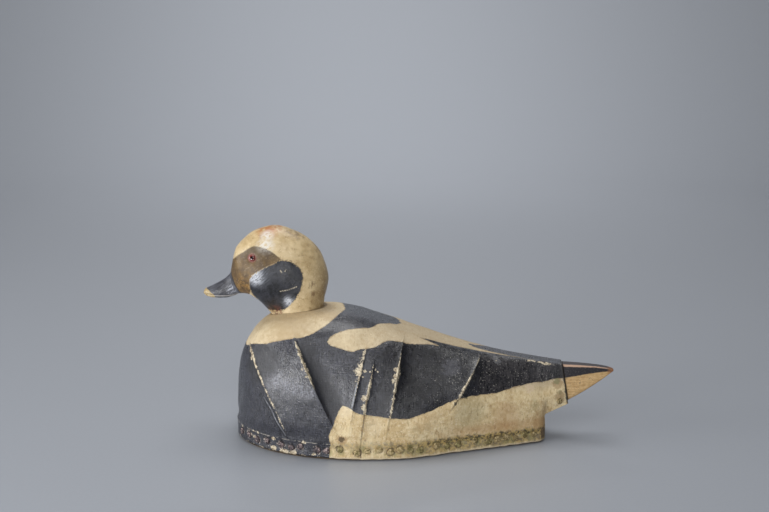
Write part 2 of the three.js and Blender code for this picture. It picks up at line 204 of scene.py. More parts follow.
def make_mesh(name, points, triangles):
    """Fills a mesh from arrays in millimetres, with its faces outwards and shaded smooth."""
    if volume(points, triangles) < 0:
        triangles = triangles[:, ::-1]
    mesh = bpy.data.meshes.new(name)
    mesh.vertices.add(len(points))
    mesh.vertices.foreach_set("co", (points * MM).astype(np.float32).ravel())
    mesh.loops.add(triangles.size)
    mesh.loops.foreach_set("vertex_index", triangles.astype(np.int32).ravel())
    mesh.polygons.add(len(triangles))
    mesh.polygons.foreach_set("loop_start", np.arange(0, triangles.size, 3, dtype=np.int32))
    mesh.polygons.foreach_set("use_smooth", np.ones(len(triangles), bool))
    mesh.update(calc_edges=True)
    mesh.validate()
    piece = bpy.data.objects.new(name, mesh)
    bpy.context.collection.objects.link(piece)
    print(name, "has", len(triangles), "triangles")
    return piece


def note(piece, name, values):
    """Keeps one number for each point, for the material to read as an attribute."""
    attribute = piece.data.attributes.new(name, "FLOAT", "POINT")
    attribute.data.foreach_set("value", np.asarray(values, np.float32))


def hand_in(piece, slot, *nodes):
    """The piece rides with the decoy's one body and stands for its solids."""
    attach(piece, "root")
    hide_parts(*nodes)


def mirrored(points):
    """The same points on the decoy's other side."""
    return points * [1, -1, 1]


# %% [markdown]
# ## The lines of the hull
# The canvas body is a hull. Its stations are raked: each runs from a place on the bottom
# board up to a place on the back, where a flat strip covers the centre board. The whole
# stations 1 to 6 are hoops, which show as ridges. Below are the same named sizes as in
# the solids: foot is the place on the board, top is on the back, strip is the flat half
# width and full is the power of the section's superellipse, where 2 is an ellipse.

# %% Stations and outline
BOW_X, BEAM_X, STERN_X = -174, -46.5, 138.5
HALF_BEAM = 81
BOW_FULLNESS = 2.1
SEAM_FOOT = {"x": 161.5, "half": 9, "z": 36.5}
BOARD_AT_BOW, BOARD_AT_STERN = 17, 14
CANVAS = 1.2
GAP = 0.3
HEM_BOTTOM = batten([BOW_X, -70, -30, STERN_X], [2.7, 2.4, 1.8, 1.9])
STERN_K, SEAM_K = 6.8, 7
STERN_FACE_V = 2 / 11
HEM_HALF_WIDTHS = [(BEAM_X, HALF_BEAM), (-1.5, 76), (23.5, 67.5), (43.5, 59), (88.5, 42), (STERN_X, 22)]
STATIONS = [
    {"k": 0, "foot": BOW_X, "top": (BOW_X, 17), "strip": 0, "full": 2},
    {"k": 0.35, "foot": -160, "top": (-172.6, 48), "strip": 2, "full": 2.1},
    {"k": 0.7, "foot": -133, "top": (-168.5, 80), "strip": 4, "full": 2.2},
    {"k": 1, "foot": -106, "top": (-157, 106), "strip": 8, "full": 2.2},
    {"k": 1.5, "foot": -81, "top": (-138.5, 121.2), "strip": 10, "full": 2.4},
    {"k": 2, "foot": -60, "top": (-114.5, 128.2), "strip": 14, "full": 2.5},
    {"k": 2.4, "foot": -58.5, "top": (-81.5, 130.4), "strip": 11, "full": 2.5},
    {"k": 2.7, "foot": -57.5, "top": (-61.5, 129), "strip": 10, "full": 2.4},
    {"k": 3, "foot": -56.5, "top": (-35.5, 122.7), "strip": 8, "full": 2.4},
    {"k": 4, "foot": -39.5, "top": (-27.5, 120.1), "strip": 8, "full": 2.4},
    {"k": 5, "foot": -19, "top": (-2.5, 112.2), "strip": 8, "full": 2.3},
    {"k": 6, "foot": 23.5, "top": (73, 90.3), "strip": 8, "full": 2},
    {"k": STERN_K, "foot": STERN_X, "top": (133.5, 80.2), "strip": 8, "full": 1.5},
    {"k": SEAM_K, "foot": SEAM_FOOT["x"], "top": (154.5, 77.2), "strip": 7.5, "full": 1.2},
]


def column(rows, key):
    """One column of a table of named values."""
    return np.array([row[key] for row in rows], float)


def along_profile(corners):
    """Battens for x and z against the length travelled along a line of corners."""
    lengths = np.append(0, np.cumsum(np.linalg.norm(np.diff(corners, axis=0), axis=1)))
    return lengths, batten(lengths, corners[:, 0]), batten(lengths, corners[:, 1])


station_k = column(STATIONS, "k")
foot_x = batten(station_k, column(STATIONS, "foot"))
strip_half = batten(station_k, column(STATIONS, "strip"))
fullness = batten(station_k, column(STATIONS, "full"))
back_lengths, back_x, back_z = along_profile(column(STATIONS, "top"))
back_at = batten(station_k, back_lengths)
quarter = batten(*np.transpose(HEM_HALF_WIDTHS))


def half_width(x):
    """Half width of the hem: a superellipse ahead of the beam and a batten behind it."""
    ahead = np.clip((BEAM_X - x) / (BEAM_X - BOW_X), 0, 1)
    bow = HALF_BEAM * (1 - ahead**BOW_FULLNESS) ** (1 / BOW_FULLNESS)
    return np.where(x > BEAM_X, quarter(x), bow)


def board_top(x):
    """Height of the bottom board's upper face, falling evenly from bow to stern."""
    return between(BOARD_AT_BOW, BOARD_AT_STERN, np.clip((x - BOW_X) / (STERN_X - BOW_X), 0, 1))


print("the back is", round(float(back_lengths[-1])), "mm long")

# %% [markdown]
# ## The taut canvas and how it sags
# Between two hoops a cloth under tension dips inwards. A cloth simulation would give
# that too, but the dips of this old decoy are known from the photograph and are set
# hard with paint, so a parabola between the hoops is closer and always the same.

# %% The canvas as a function of station and girth
SAGS = np.array([4, 1.5, 8, 1.5, 3, 8, 5])
SAG_LEANS = np.array([1, 1, 0.55, 1, 0.75, 0.6, 0.7])
SAG_TOPS = np.array([0.95, 0.85, 0.7, 0.55, 0.52, 0.9, 0.97])
SAG_LOWS = np.array([0, 0, 0, 0, 0, 0.2, 0.26])
SAG_FADE = 0.35
HOOP_LEANS = {
    1: [(0, 0.08), (0.13, 0.045), (0.3, 0.02), (1, 0)],
    4: [(0, 0.2), (0.22, 0.19), (0.28, 0.11), (0.4, 0.04), (0.5, 0), (1, 0)],
}
LIFT_FROM = 6.45


def section(k, v):
    """Point of station k at girth v: between the foot and the back strip on a
    superellipse quadrant, whose sine and cosine are raised to 2 over the fullness."""
    x = foot_x(k)
    last = k >= SEAM_K
    start_x = np.where(last, SEAM_FOOT["x"], x)
    start_half = np.where(last, SEAM_FOOT["half"], half_width(x))
    start_z = np.where(last, SEAM_FOOT["z"], board_top(x))
    power = 2 / fullness(k)
    up = np.sin(v * np.pi / 2) ** power
    out = np.clip(np.cos(v * np.pi / 2), 0, 1) ** power
    strip = np.minimum(strip_half(k), start_half)
    travelled = back_at(k)
    return np.stack([
        between(start_x, back_x(travelled), up),
        -(strip + (start_half - strip) * out),
        between(start_z, back_z(travelled), up),
    ], -1)


def tail_share(k):
    """How far station k lies from the stern to the tail seam, from 0 to 1."""
    return np.clip((k - STERN_K) / (SEAM_K - STERN_K), 0, 1)


def lowest_girth(k):
    """Girth at which the grid starts: 0 along the hull, rising to the top of the upright
    stern face and back to 0 at the tail seam."""
    hull = ease(k, LIFT_FROM, STERN_K)
    return STERN_FACE_V * np.where(k > STERN_K, 1 - tail_share(k), hull)


def taut(k, v):
    """The section, and behind the stern straight lines from the stern to the tail seam."""
    lowest = STERN_FACE_V * (1 - tail_share(k))
    share = np.clip((v - lowest) / (1 - lowest), 0, 1)
    stern = section(np.full_like(k, STERN_K), STERN_FACE_V + (1 - STERN_FACE_V) * share)
    ruled = between(stern, section(np.full_like(k, SEAM_K), share), tail_share(k)[..., None])
    return np.where((k > STERN_K)[..., None], ruled, section(np.minimum(k, STERN_K), v))


def outward(k, v, reach=0.01):
    """Unit vector square to the canvas: the cross product of its two tangents."""
    inside = np.maximum(k, 0.02)
    v = np.maximum(v, lowest_girth(k) * (k > STERN_K) + reach)
    along = taut(np.minimum(k + reach, SEAM_K), v) - taut(np.maximum(k - reach, 0.02), v)
    around = taut(inside, np.minimum(v + reach, 0.99)) - taut(inside, np.minimum(v - reach, 0.97))
    square = np.cross(along, around)
    return square / np.linalg.norm(square, axis=-1, keepdims=True)


def from_hoops(k, v):
    """The station as counted from the hoops. Two of them slipped forward at the foot, so
    a little is added to k beside those, which fades out half way to the next hoop."""
    counted = k * 1.0
    for hoop, pairs in HOOP_LEANS.items():
        counted += batten(*np.transpose(pairs))(v) * np.clip(1 - np.abs(k - hoop) / 0.5, 0, 1)
    return counted


def sag(k, v):
    """Depth of the dip: a parabola between hoops that dies out at the hem and the back.
    The share of the way across is raised to the panel's lean, and where that is below 1
    the deepest place comes sooner behind the hoop."""
    k = from_hoops(k, v)
    panel = np.minimum(np.floor(k).astype(int), len(SAGS) - 1)
    across = np.clip(k - panel, 0, 1) ** SAG_LEANS[panel]
    low, top = SAG_LOWS[panel], SAG_TOPS[panel]
    fades = ease(v, low, low + 0.3) * (1 - ease(v, top - SAG_FADE, top))
    return SAGS[panel] * 4 * across * (1 - across) * fades


def on_canvas(k, v):
    """Point of the sagging canvas. Below v = 0 it goes down the hem, and above v = 1 it
    crosses the back strip, whose middle is at v = MIDDLE_V."""
    girth = np.clip(v, 0, 1)
    point = taut(k, girth) - outward(k, girth) * sag(k, girth)[..., None]
    point[..., 2] += np.minimum(v, 0) * HEM_DROP
    across = np.clip((v - 1) / (MIDDLE_V - 1), 0, 1)
    point[..., 1] *= 1 - across
    return point


# %% [markdown]
# ## Where the paint changes colour
# The painter marked off each colour with a line. A line is kept here as a few (k, v)
# places on the hull, so it lies on the canvas whichever way that bends. For each point
# of the skin, the distance to the nearest line says how far inside or outside a colour
# it is, and the material turns that into an edge. The far side is painted as the near
# side's mirror image, with the edges on the back moved a little, because no painter
# repeats a line exactly. The pattern is the plumage of the drake in winter.

# %% Painted areas
MIDDLE_V = 1.3
HEM_DROP = 60
CAPE = [
    [(0.84, 1.3), (0.88, 0.95), (0.9, 0.85), (1.07, 0.737), (1.44, 0.65), (1.77, 0.64), (2.04, 0.633),
     (2.22, 0.657), (2.35, 0.71), (2.49, 0.797), (2.6, 0.91), (2.65, 0.997), (2.68, 1.3)],
    [(2.68, 1.5), (0.84, 1.5)],
]
SCAPULAR = [
    [(2.44, 0.6), (2.448, 0.58), (2.633, 0.553), (2.808, 0.537), (2.933, 0.58), (4.002, 0.627),
     (4.582, 0.727), (5.051, 0.767), (5.306, 0.813), (5.381, 0.837), (5.541, 0.863)],
    [(5.541, 0.863), (5.41, 0.886), (5.281, 0.903)],
    [(5.281, 0.903), (5.456, 0.923), (5.671, 0.943), (5.926, 0.97), (6.32, 0.985), (6.72, 1.0)],
    [(6.72, 1.0), (6.5, 1.05), (6.2, 1.12), (6.0, 1.2), (5.9, 1.3)],
    [(5.9, 1.5), (4.8, 1.5)],
    [(4.8, 1.3), (4.7, 1.12), (4.44, 0.99), (4.05, 0.94), (3.6, 0.893), (2.943, 0.807),
     (2.813, 0.753), (2.683, 0.703), (2.553, 0.66), (2.47, 0.62), (2.44, 0.6)],
]
FLANK = [
    [(1.66, -0.3), (1.68, -0.05), (1.7, 0.003), (1.774, 0.033), (2.163, 0.083), (2.513, 0.14),
     (2.703, 0.177), (2.913, 0.17), (3.522, 0.15), (4.327, 0.143), (4.906, 0.147), (5.386, 0.163),
     (5.631, 0.22), (5.811, 0.287), (5.966, 0.357), (6.101, 0.39), (6.365, 0.423), (6.545, 0.487),
     (6.785, 0.557), (6.97, 0.563), (7.1, 0.57)],
    [(7.2, 0.57), (7.2, -0.5), (1.66, -0.5)],
]
PLACES_PER_CORNER = 12


def trace(lines):
    """Walks an outline's lines by batten, with a sharp corner wherever a new one starts."""
    walked = []
    for line in lines:
        lengths, first, second = along_profile(np.array(line, float))
        steps = np.linspace(0, lengths[-1], PLACES_PER_CORNER * len(line))
        walked.append(np.stack([first(steps), second(steps)], -1))
    return np.vstack(walked)


def enclosed(places, outline):
    """True for the places from which a ray crosses the outline an odd number of times."""
    x, y = places[..., 0], places[..., 1]
    odd = np.zeros(x.shape, bool)
    for (x0, y0), (x1, y1) in zip(outline, np.roll(outline, -1, axis=0)):
        if y0 != y1:
            odd ^= ((y0 > y) != (y1 > y)) & (x < x0 + (y - y0) * (x1 - x0) / (y1 - y0))
    return odd


def nearest(points, targets):
    """Distance in mm from each point to the nearest of the targets."""
    best = np.full(points.shape[:-1], np.inf)
    for target in targets:
        best = np.minimum(best, ((points - target) ** 2).sum(-1))
    return np.sqrt(best)


def painted(points, places, lines):
    """Distance in mm from each canvas point to a painted edge, below zero outside it."""
    outline = trace(lines)
    edge = outline[(outline[:, 1] <= MIDDLE_V) & (outline[:, 1] > -0.4) & (outline[:, 0] <= SEAM_K)]
    away = nearest(points, on_canvas(edge[:, 0], edge[:, 1]))
    return np.where(enclosed(places, outline), away, -away)


print("the scapular patch is drawn with", len(trace(SCAPULAR)), "places")

# %% [markdown]
# ## Tack places
# Copper tacks hold the hem to the board. On the near side they stand where the
# photograph shows them, and the far side has an even row. Each tack pulls the canvas in,
# so the places come before the canvas itself. Round most tacks the corroding copper has
# left a dark ring, whose strength is drawn at random, or known where it is plain to see,
# and above each head the ring is darker, a painted shadow.

# %% Rows of tacks
NEAR_TACKS_X = [
    -165, -155.5, -146.5, -135, -120.5, -110, -101, -84, -75, -62.5, -45.5, -36, -24.5, -13.5,
    -4.5, 5.5, 14.5, 30.5, 40.5, 51, 67.5, 81, 90, 98.5, 108, 117.5, 126.5,
]
FAR_TACKS_X = np.linspace(-163, 130, 24)
TACK_MIDDLE, TACK_SWING, TACK_TURN = 10, 1.3, 2.3
SEAM_TACK_K, SEAM_TACK_V, SEAM_TACK_LIFT = 6.93, 0.22, 0.3
RINGS_SEEN = {-62.5: 0.5, -45.5: 1, -36: 0.1}


def inset(x, distance):
    """The hem's outline moved inwards by a distance, square to itself, as [x, y]."""
    step = 0.05
    ahead, behind = np.maximum(x - step, BOW_X), np.minimum(x + step, STERN_X)
    along = np.stack([behind - ahead, half_width(ahead) - half_width(behind)], -1)
    along /= np.linalg.norm(along, axis=-1, keepdims=True)
    moved_x = x - along[..., 1] * distance
    moved_y = np.minimum(-half_width(x) + along[..., 0] * distance, 0)
    if distance > 0:
        moved_x = np.where(x >= STERN_X - CANVAS, STERN_X - distance, moved_x)
    moved_x = np.where(x <= BOW_X, BOW_X + distance, moved_x)
    return np.stack([moved_x, np.where(x <= BOW_X, 0, moved_y)], -1)


def tack_row(row_x, side):
    """Middles of a row of tack heads and the directions that they face."""
    row_x = np.asarray(row_x, float)
    surface = inset(row_x, 0.0)
    height = TACK_MIDDLE + TACK_SWING * np.sin(TACK_TURN * np.arange(len(row_x)))
    middle = np.column_stack([surface, height])
    facing = np.column_stack([inset(row_x, -1.0) - surface, np.zeros(len(row_x))])
    return middle * [1, side, 1], facing * [1, side, 1]


near_middle, near_facing = tack_row(NEAR_TACKS_X, 1)
far_middle, far_facing = tack_row(FAR_TACKS_X, -1)
seam_facing = outward(np.array([SEAM_TACK_K]), np.array([SEAM_TACK_V]))
seam_middle = on_canvas(np.array([SEAM_TACK_K]), np.array([SEAM_TACK_V]))
seam_middle = seam_middle + seam_facing * SEAM_TACK_LIFT
tack_middle = np.vstack([near_middle, far_middle, seam_middle, mirrored(seam_middle)])
tack_facing = np.vstack([near_facing, far_facing, seam_facing, mirrored(seam_facing)])
tack_ring = np.random.default_rng(9).uniform(0, 1, len(tack_middle)) ** 1.5
for x, strength in RINGS_SEEN.items():
    tack_ring[NEAR_TACKS_X.index(x)] = strength
print(len(tack_middle), "tacks")

# %% [markdown]
# ## The canvas body
# Each ring of the skin starts in the pocket over the bottom board, comes down inside
# the hem, turns round its raw edge, and then runs up the hem, over the side and across
# the back. The canvas is pulled in at every tack, it lies over each hoop in a low
# rounded ridge, its raw edge is uneven, and it climbs a little round the neck.

# %% Grid of the canvas
PANEL_ROWS = [54, 40, 56, 18, 30, 54, 56]
FOLD_ROWS = 12
TAIL_ROWS = 26
POCKET_PLACES = 3
BAND_ROWS = 11
GIRTH_ROWS = 80
STRIP_ROWS = 4
FOLD_RADIUS, FOLD_LENGTH = 7.5, 8.2


def hull_rows():
    """Stations from the bow to the stern, crowded beside each hoop by a cosine, with a
    few more round the fold of canvas at the stern."""
    rows = [panel + (1 - np.cos(np.pi * np.arange(n) / n)) / 2 for panel, n in enumerate(PANEL_ROWS)]
    k = np.concatenate(rows)
    fold = STERN_X - FOLD_LENGTH * (1 - np.sin(np.linspace(0, np.pi / 2, FOLD_ROWS)))
    fine = np.linspace(LIFT_FROM, STERN_K, 400)
    fold_k = np.interp(fold, foot_x(fine), fine)
    return np.concatenate([k[k < fold_k[0] - 0.004], fold_k])


hull = hull_rows()
tail = np.linspace(STERN_K, SEAM_K, TAIL_ROWS)[1:]
row_k = np.concatenate([hull, hull[-1:], tail])
row_open = np.concatenate([np.zeros(len(hull)), np.ones(TAIL_ROWS)]).astype(bool)
row_flap = row_k >= hull[-3]
print(len(row_k), "rings")

# %% Side and hem of the canvas
HOOP_HEIGHT, HOOP_WIDTH = 0.7, 1.7
BEAD_HEIGHT, BEAD_WIDTH = 0.5, 1.3
GROOVE_DEPTH, GROOVE_ABOVE, GROOVE_WIDTH = 0.4, 6, 3.5
PUCKER_DEPTH, PUCKER_WIDTH = 0.7, 5.0
LUMP_HEIGHT, LUMP_SIZE = 0.35, 26
DIMPLE_DEPTH, DIMPLE_SIZE = 0.18, 9
WAVER_DEPTH, WAVER_SIZE = 0.2, 6
RAW_SWING, RAW_SIZE = 0.5, 7
COLLAR_HEIGHT, COLLAR_WIDTH, COLLAR_FROM_Z = 2.4, 4.0, 90
NECK_MIDDLE_X, NECK_LONG, NECK_WIDE = -110, 28, 22.6
HOOP_RELIEF = {
    1: [(0, 0.3), (0.06, 1), (0.76, 1), (0.86, 0)],
    2: [(0, 0), (0.1, 0.6), (0.3, 1), (0.6, 1), (0.7, 0)],
    3: [(0, 0), (0.24, 0.4), (0.34, 1), (0.5, 1), (0.6, 0.3), (0.68, 0)],
    4: [(0, 0.15), (0.16, 0.25), (0.24, 0.9), (0.44, 0.8), (0.54, 0)],
    5: [(0, 0.15), (0.16, 0.25), (0.24, 0.9), (0.58, 1), (0.68, 0)],
    6: [(0, 0), (0.25, 0), (0.42, 1), (0.8, 0.8), (0.9, 0)],
}


def hoop_column(k, v, rows):
    """The value that the nearest hoop's row of (girth, value) pairs has at girth v."""
    k = from_hoops(k, v)
    total = np.zeros(k.shape)
    for hoop, pairs in rows.items():
        total += (np.clip(np.round(k), 1, 6) == hoop) * batten(*np.transpose(pairs))(v)
    return total


def to_hoop(k, v):
    """Distance in mm to the nearest of the six hoops: the difference in k times the
    length of one step of k there."""
    counted = from_hoops(k, v)
    hoop = np.clip(np.round(counted), 1, 6)
    stretch = np.linalg.norm(taut(hoop + 0.01, v) - taut(hoop - 0.01, v), axis=-1) / 0.02
    return np.abs(counted - hoop) * stretch


K, V = np.meshgrid(row_k, np.linspace(0, 1, GIRTH_ROWS), indexing="ij")
G = V + lowest_girth(K) * (1 - V)
side = on_canvas(K, G)
square = outward(K, G)
hoop_away = to_hoop(K, G)
foot_z = np.where(row_k > STERN_K, side[:, 0, 2], board_top(foot_x(row_k)))
above_foot = side[..., 2] - foot_z[:, None]
lumps = LUMP_HEIGHT * ripple(side, LUMP_SIZE, seed=3) + DIMPLE_DEPTH * ripple(side, DIMPLE_SIZE, seed=4)
ridge = HOOP_HEIGHT * bell(hoop_away, HOOP_WIDTH) * hoop_column(K, G, HOOP_RELIEF)
bead = BEAD_HEIGHT * bell(above_foot, BEAD_WIDTH)
bead -= GROOVE_DEPTH * bell(above_foot - GROOVE_ABOVE, GROOVE_WIDTH)
pull = PUCKER_DEPTH * bell(nearest(side, near_middle), PUCKER_WIDTH)
shift = lumps * ease(above_foot, 0, 12) * (1 - ease(G, 0.85, 1)) + ridge + bead * ~row_open[:, None] - pull
side += square * (shift * (K > 0))[..., None]
print("side grid", side.shape)

# %% Fold at the stern


def folded(points, share):
    """Rounds the upright corner at the stern: over the last FOLD_RADIUS of its length the
    near side turns in by a quarter circle, times the share."""
    turn = np.clip((points[..., 0] - (STERN_X - FOLD_RADIUS)) / FOLD_RADIUS, 0, 1)
    inwards = FOLD_RADIUS * (1 - np.sqrt(1 - turn**2)) * share
    points[..., 1] = np.minimum(points[..., 1] + inwards, 0)
    return points


FOLD_TOP = 0.3
folded(side, (1 - ease(V, 0, FOLD_TOP)) * (1 - tail_share(K)))
print("the stern is", round(-2 * float(side[len(hull) - 1, 0, 1]), 1), "mm wide at its foot")

# %% Band of the hem and its raw edge


def band_rows(k, height_share):
    """The hem below the grid's first girth: straight up the board's edge from the raw
    edge to the foot, and near the stern on up the side to the lowest girth."""
    x = foot_x(k)
    edge = inset(x, 0.0)
    raw = HEM_BOTTOM(x) + RAW_SWING * ripple(np.stack([x, edge[..., 1], 0 * x], -1), RAW_SIZE, seed=8)
    foot = board_top(x)
    rise = section(k, lowest_girth(k))[..., 2] - foot
    climbed = (foot - raw + rise) * height_share
    up = np.clip(climbed / (foot - raw), 0, 1)
    beyond = np.clip((climbed - (foot - raw)) / np.maximum(rise, 0.01), 0, 1)
    point = on_canvas(k, lowest_girth(k) * beyond)
    upright = climbed < foot - raw
    point[..., 2] = np.where(upright, between(raw, foot, up), point[..., 2])
    return point


BK, BT = np.meshgrid(row_k, np.linspace(0, 1, BAND_ROWS + 1)[:-1], indexing="ij")
band = band_rows(np.minimum(BK, STERN_K), BT)
band_square = outward(BK * 0 + np.minimum(BK, STERN_K - 0.02), BK * 0 + 0.02) * [1, 1, 0]
band_square /= np.maximum(np.linalg.norm(band_square, axis=-1, keepdims=True), 0.01)
band_pull = PUCKER_DEPTH * bell(nearest(band, near_middle), PUCKER_WIDTH)
band_pull -= WAVER_DEPTH * ripple(band, WAVER_SIZE, seed=5)
band -= band_square * band_pull[..., None] * (BK > 0.01)[..., None]
folded(band, 1)
print("the raw edge runs from", band[hull.size // 4, 0, 2].round(1), "mm up")

# %% Rings


def canvas_rings():
    """Near half rings from the pocket to the middle of the back, with the open rings
    behind the stern closed along a straight line across."""
    x = foot_x(np.minimum(row_k, STERN_K))
    lining = folded(np.column_stack([inset(x, CANVAS), band[:, 0, 2]]), 1)
    roof = lining.copy()
    roof[:, 2] = np.where(row_flap, band[:, 0, 2], board_top(lining[:, 0]) + GAP)
    low = np.concatenate([roof[:, None], lining[:, None], band], axis=1)
    places = (np.arange(low.shape[1]) + 0.5) / (low.shape[1] + 0.5)
    across = np.repeat(side[:, :1], low.shape[1], axis=1) * np.stack(
        [places**0, places, places**0], -1
    )
    low = np.where(row_open[:, None, None], across, low)
    share = np.linspace(0, 1, STRIP_ROWS + 1)[1:]
    strip = np.repeat(side[:, -1:], STRIP_ROWS, axis=1) * np.stack([share**0, 1 - share, share**0], -1)
    return np.concatenate([low, side, strip], axis=1)


near = canvas_rings()
print("each half ring has", near.shape[1], "places")

# %% [markdown]
# ## What the paint has been through
# The black paint is worn through to the pale ground where the canvas crosses a hoop,
# worst where hands lifted the decoy, and chips are missing along the hem. Each hoop has
# its own wear from foot to back, and each chip a place and a size. Between the first
# two hoops a highlight is painted into the black along a line, and behind the second a
# painted shade darkens it along one, where it is also rougher. The material reads all
# of this as numbers on the mesh, and noise breaks it up.

# %% Wear and chips
HOOP_WEAR = {
    1: [(0, 0.1), (0.1, 0.45), (0.3, 0.6), (0.55, 0.85), (0.7, 1.2), (0.78, 0.6), (0.84, 0)],
    2: [(0, 0), (0.22, 0), (0.3, 0.5), (0.4, 1.0), (0.55, 0.7), (0.63, 0.2), (0.7, 0)],
    3: [(0, 0), (0.24, 0.2), (0.34, 0.5), (0.4, 1.1), (0.46, 0.7), (0.58, 0.6), (0.66, 0)],
    4: [(0, 0.2), (0.16, 1.1), (0.24, 1.3), (0.36, 0.8), (0.44, 0.5), (0.5, 0)],
    5: [(0, 0.1), (0.12, 0.7), (0.27, 0.8), (0.38, 0.9), (0.47, 1.6), (0.56, 0.6), (0.7, 0.2), (0.8, 0)],
    6: [(0, 0), (0.3, 0.3), (0.4, 1.0), (0.5, 1.0), (0.65, 0.4), (0.85, 0.2), (0.9, 0)],
}
HOOP_CRACK = {
    4: [(0, 0.8), (0.2, 1), (0.3, 0), (1, 0)],
    5: [(0, 0.1), (0.15, 0.4), (0.25, 0), (1, 0)],
    6: [(0, 0), (0.24, 0), (0.34, 0.9), (0.44, 0.3), (0.5, 0), (1, 0)],
}
# The first line is a crack in the paint. The second, along the fold at the foot of the third hoop, is a
# painted highlight.
CRACK_AND_GLINT_LINES = [
    [(0.894, 0.3), (0.899, 0.26), (0.909, 0.22), (0.909, 0.177), (0.904, 0.133), (0.909, 0.073),
     (0.909, 0.02)],
    [(2.963, 0.33), (2.958, 0.303), (2.948, 0.247), (2.938, 0.183)],
]
CHIPS = [
    (-164.3, 15.8, 1.6), (-154.8, 16, 1.4), (-150.4, 16.4, 1.5), (-145, 16.4, 1.6), (-129.2, 15.6, 2.3),
    (-97.1, 16.8, 1.8), (-128.6, 4.4, 2.6), (-117.9, 4.2, 3.1), (-107.8, 4.2, 2.9), (-87.3, 5.2, 1.6),
    (-153.5, 95.7, 2.4), (-151, 90, 2), (-98.5, 87.8, 1.5), (-94.5, 81.9, 1.3), (-38.6, 86, 1.6),
    (-39.6, 81, 1.2), (-33.5, 84.8, 0.9), (-29.1, 86.7, 1.1), (-26.4, 85.6, 1), (-39.4, 61, 3),
    (-38.8, 53, 3), (-9.8, 86, 2.5), (-9.6, 81, 3), (-11.4, 76.5, 1.9), (-10.8, 66, 1.5),
    (-154, 11.5, 2), (-149.5, 10, 1.6), (57.8, 65.4, 1.4), (55, 61.2, 1.4), (88, 83, 0.9),
    (119.3, 81.3, 0.8), (122.2, 81, 0.9), (127, 80.4, 0.8), (131, 79.6, 0.8), (134, 78.8, 1.2),
    (138.2, 77.8, 1.5), (141.4, 77.2, 1),
]
LONG_CHIPS = 1.7
# Places along which a highlight is painted into the black between the first two hoops
HIGHLIGHT_PLACES = [(1.14, 0.4), (1.3, 0.345), (1.5, 0.3), (1.7, 0.265), (1.84, 0.25)]
# Places behind the second hoop along which the black is painted darker as shade, and made rougher
DULL_AND_SHADED = [(2.08, 0.5), (2.1, 0.38), (2.16, 0.26), (2.26, 0.15)]
OPEN_GIRTH = -0.1
FAR_OFF = 90

below_foot = (band[..., 2] - foot_z[:, None]) / HEM_DROP
low_girth = np.concatenate([below_foot[:, :1], below_foot[:, :1], below_foot], axis=1)
low_girth[row_open] = OPEN_GIRTH
strip_girth = np.repeat([1 + (MIDDLE_V - 1) * (np.arange(STRIP_ROWS) + 1) / STRIP_ROWS], len(row_k), axis=0)
near_girth = np.concatenate([low_girth, G, strip_girth], axis=1)
near_k = np.repeat(row_k[:, None], near.shape[1], axis=1)
places = np.stack([near_k, near_girth], -1)
outer = near[:, POCKET_PLACES:].reshape(-1, 3)
chip_depth = np.full(near.shape[:2], -9.0)
for x, z, size in CHIPS:
    middle = outer[np.argmin(np.hypot(outer[:, 0] - x, outer[:, 2] - z) + 0.02 * outer[:, 1])]
    along = LONG_CHIPS if z < 20 or x > 100 else 1
    chip_depth = np.maximum(chip_depth, size - np.linalg.norm((near - middle) / [along, 1, 1], axis=-1))

FAR_SHIFT_K = batten([3, 4.5, 5.8, 6.2, 7], [-0.25, -0.25, 0.28, 0.6, 0.6])
FAR_SHIFT_V = 0.08


def cream_paint(places):
    """Distance to the edge of the cream, for the places that the canvas points count as."""
    return np.maximum.reduce([painted(near, places, lines) for lines in (CAPE, SCAPULAR, FLANK)])


def to_lines(*lines):
    """Distance in mm from each canvas point to the nearest of some lines of (k, v) places."""
    return nearest(near, np.vstack([on_canvas(*trace([line]).T) for line in lines]))


upper = ease(near_girth, 0.6, 0.85) * (1 - ease(near_girth, 1, MIDDLE_V)) * ease(near_k, 3, 3.7)
far_shift = np.stack([FAR_SHIFT_K(near_k) * upper, FAR_SHIFT_V * upper], -1)
cream_near, cream_far = cream_paint(places), cream_paint(places + far_shift)
side_girth = np.clip(near_girth, 0, 1)
off_panel = np.abs(from_hoops(near_k, near_girth) - 1.5) > 0.49
near_notes = {
    "hoop": to_hoop(near_k, side_girth),
    "wear": hoop_column(near_k, side_girth, HOOP_WEAR),
    "crack": hoop_column(near_k, side_girth, HOOP_CRACK),
    "chip": chip_depth,
    "pale_line": to_lines(*CRACK_AND_GLINT_LINES),
    "highlight_line": to_lines(HIGHLIGHT_PLACES) + FAR_OFF * off_panel,
    "dull_and_shaded": to_lines(DULL_AND_SHADED) + FAR_OFF * (near_k < 1.97),
    "hem": near[..., 2] - foot_z[:, None] + FAR_OFF * row_open[:, None],
    "raw": near[..., 2] - band[:, :1, 2] + FAR_OFF * row_open[:, None],
    "back": near_girth,
}
print("notes kept for the paint:", ", ".join(near_notes))

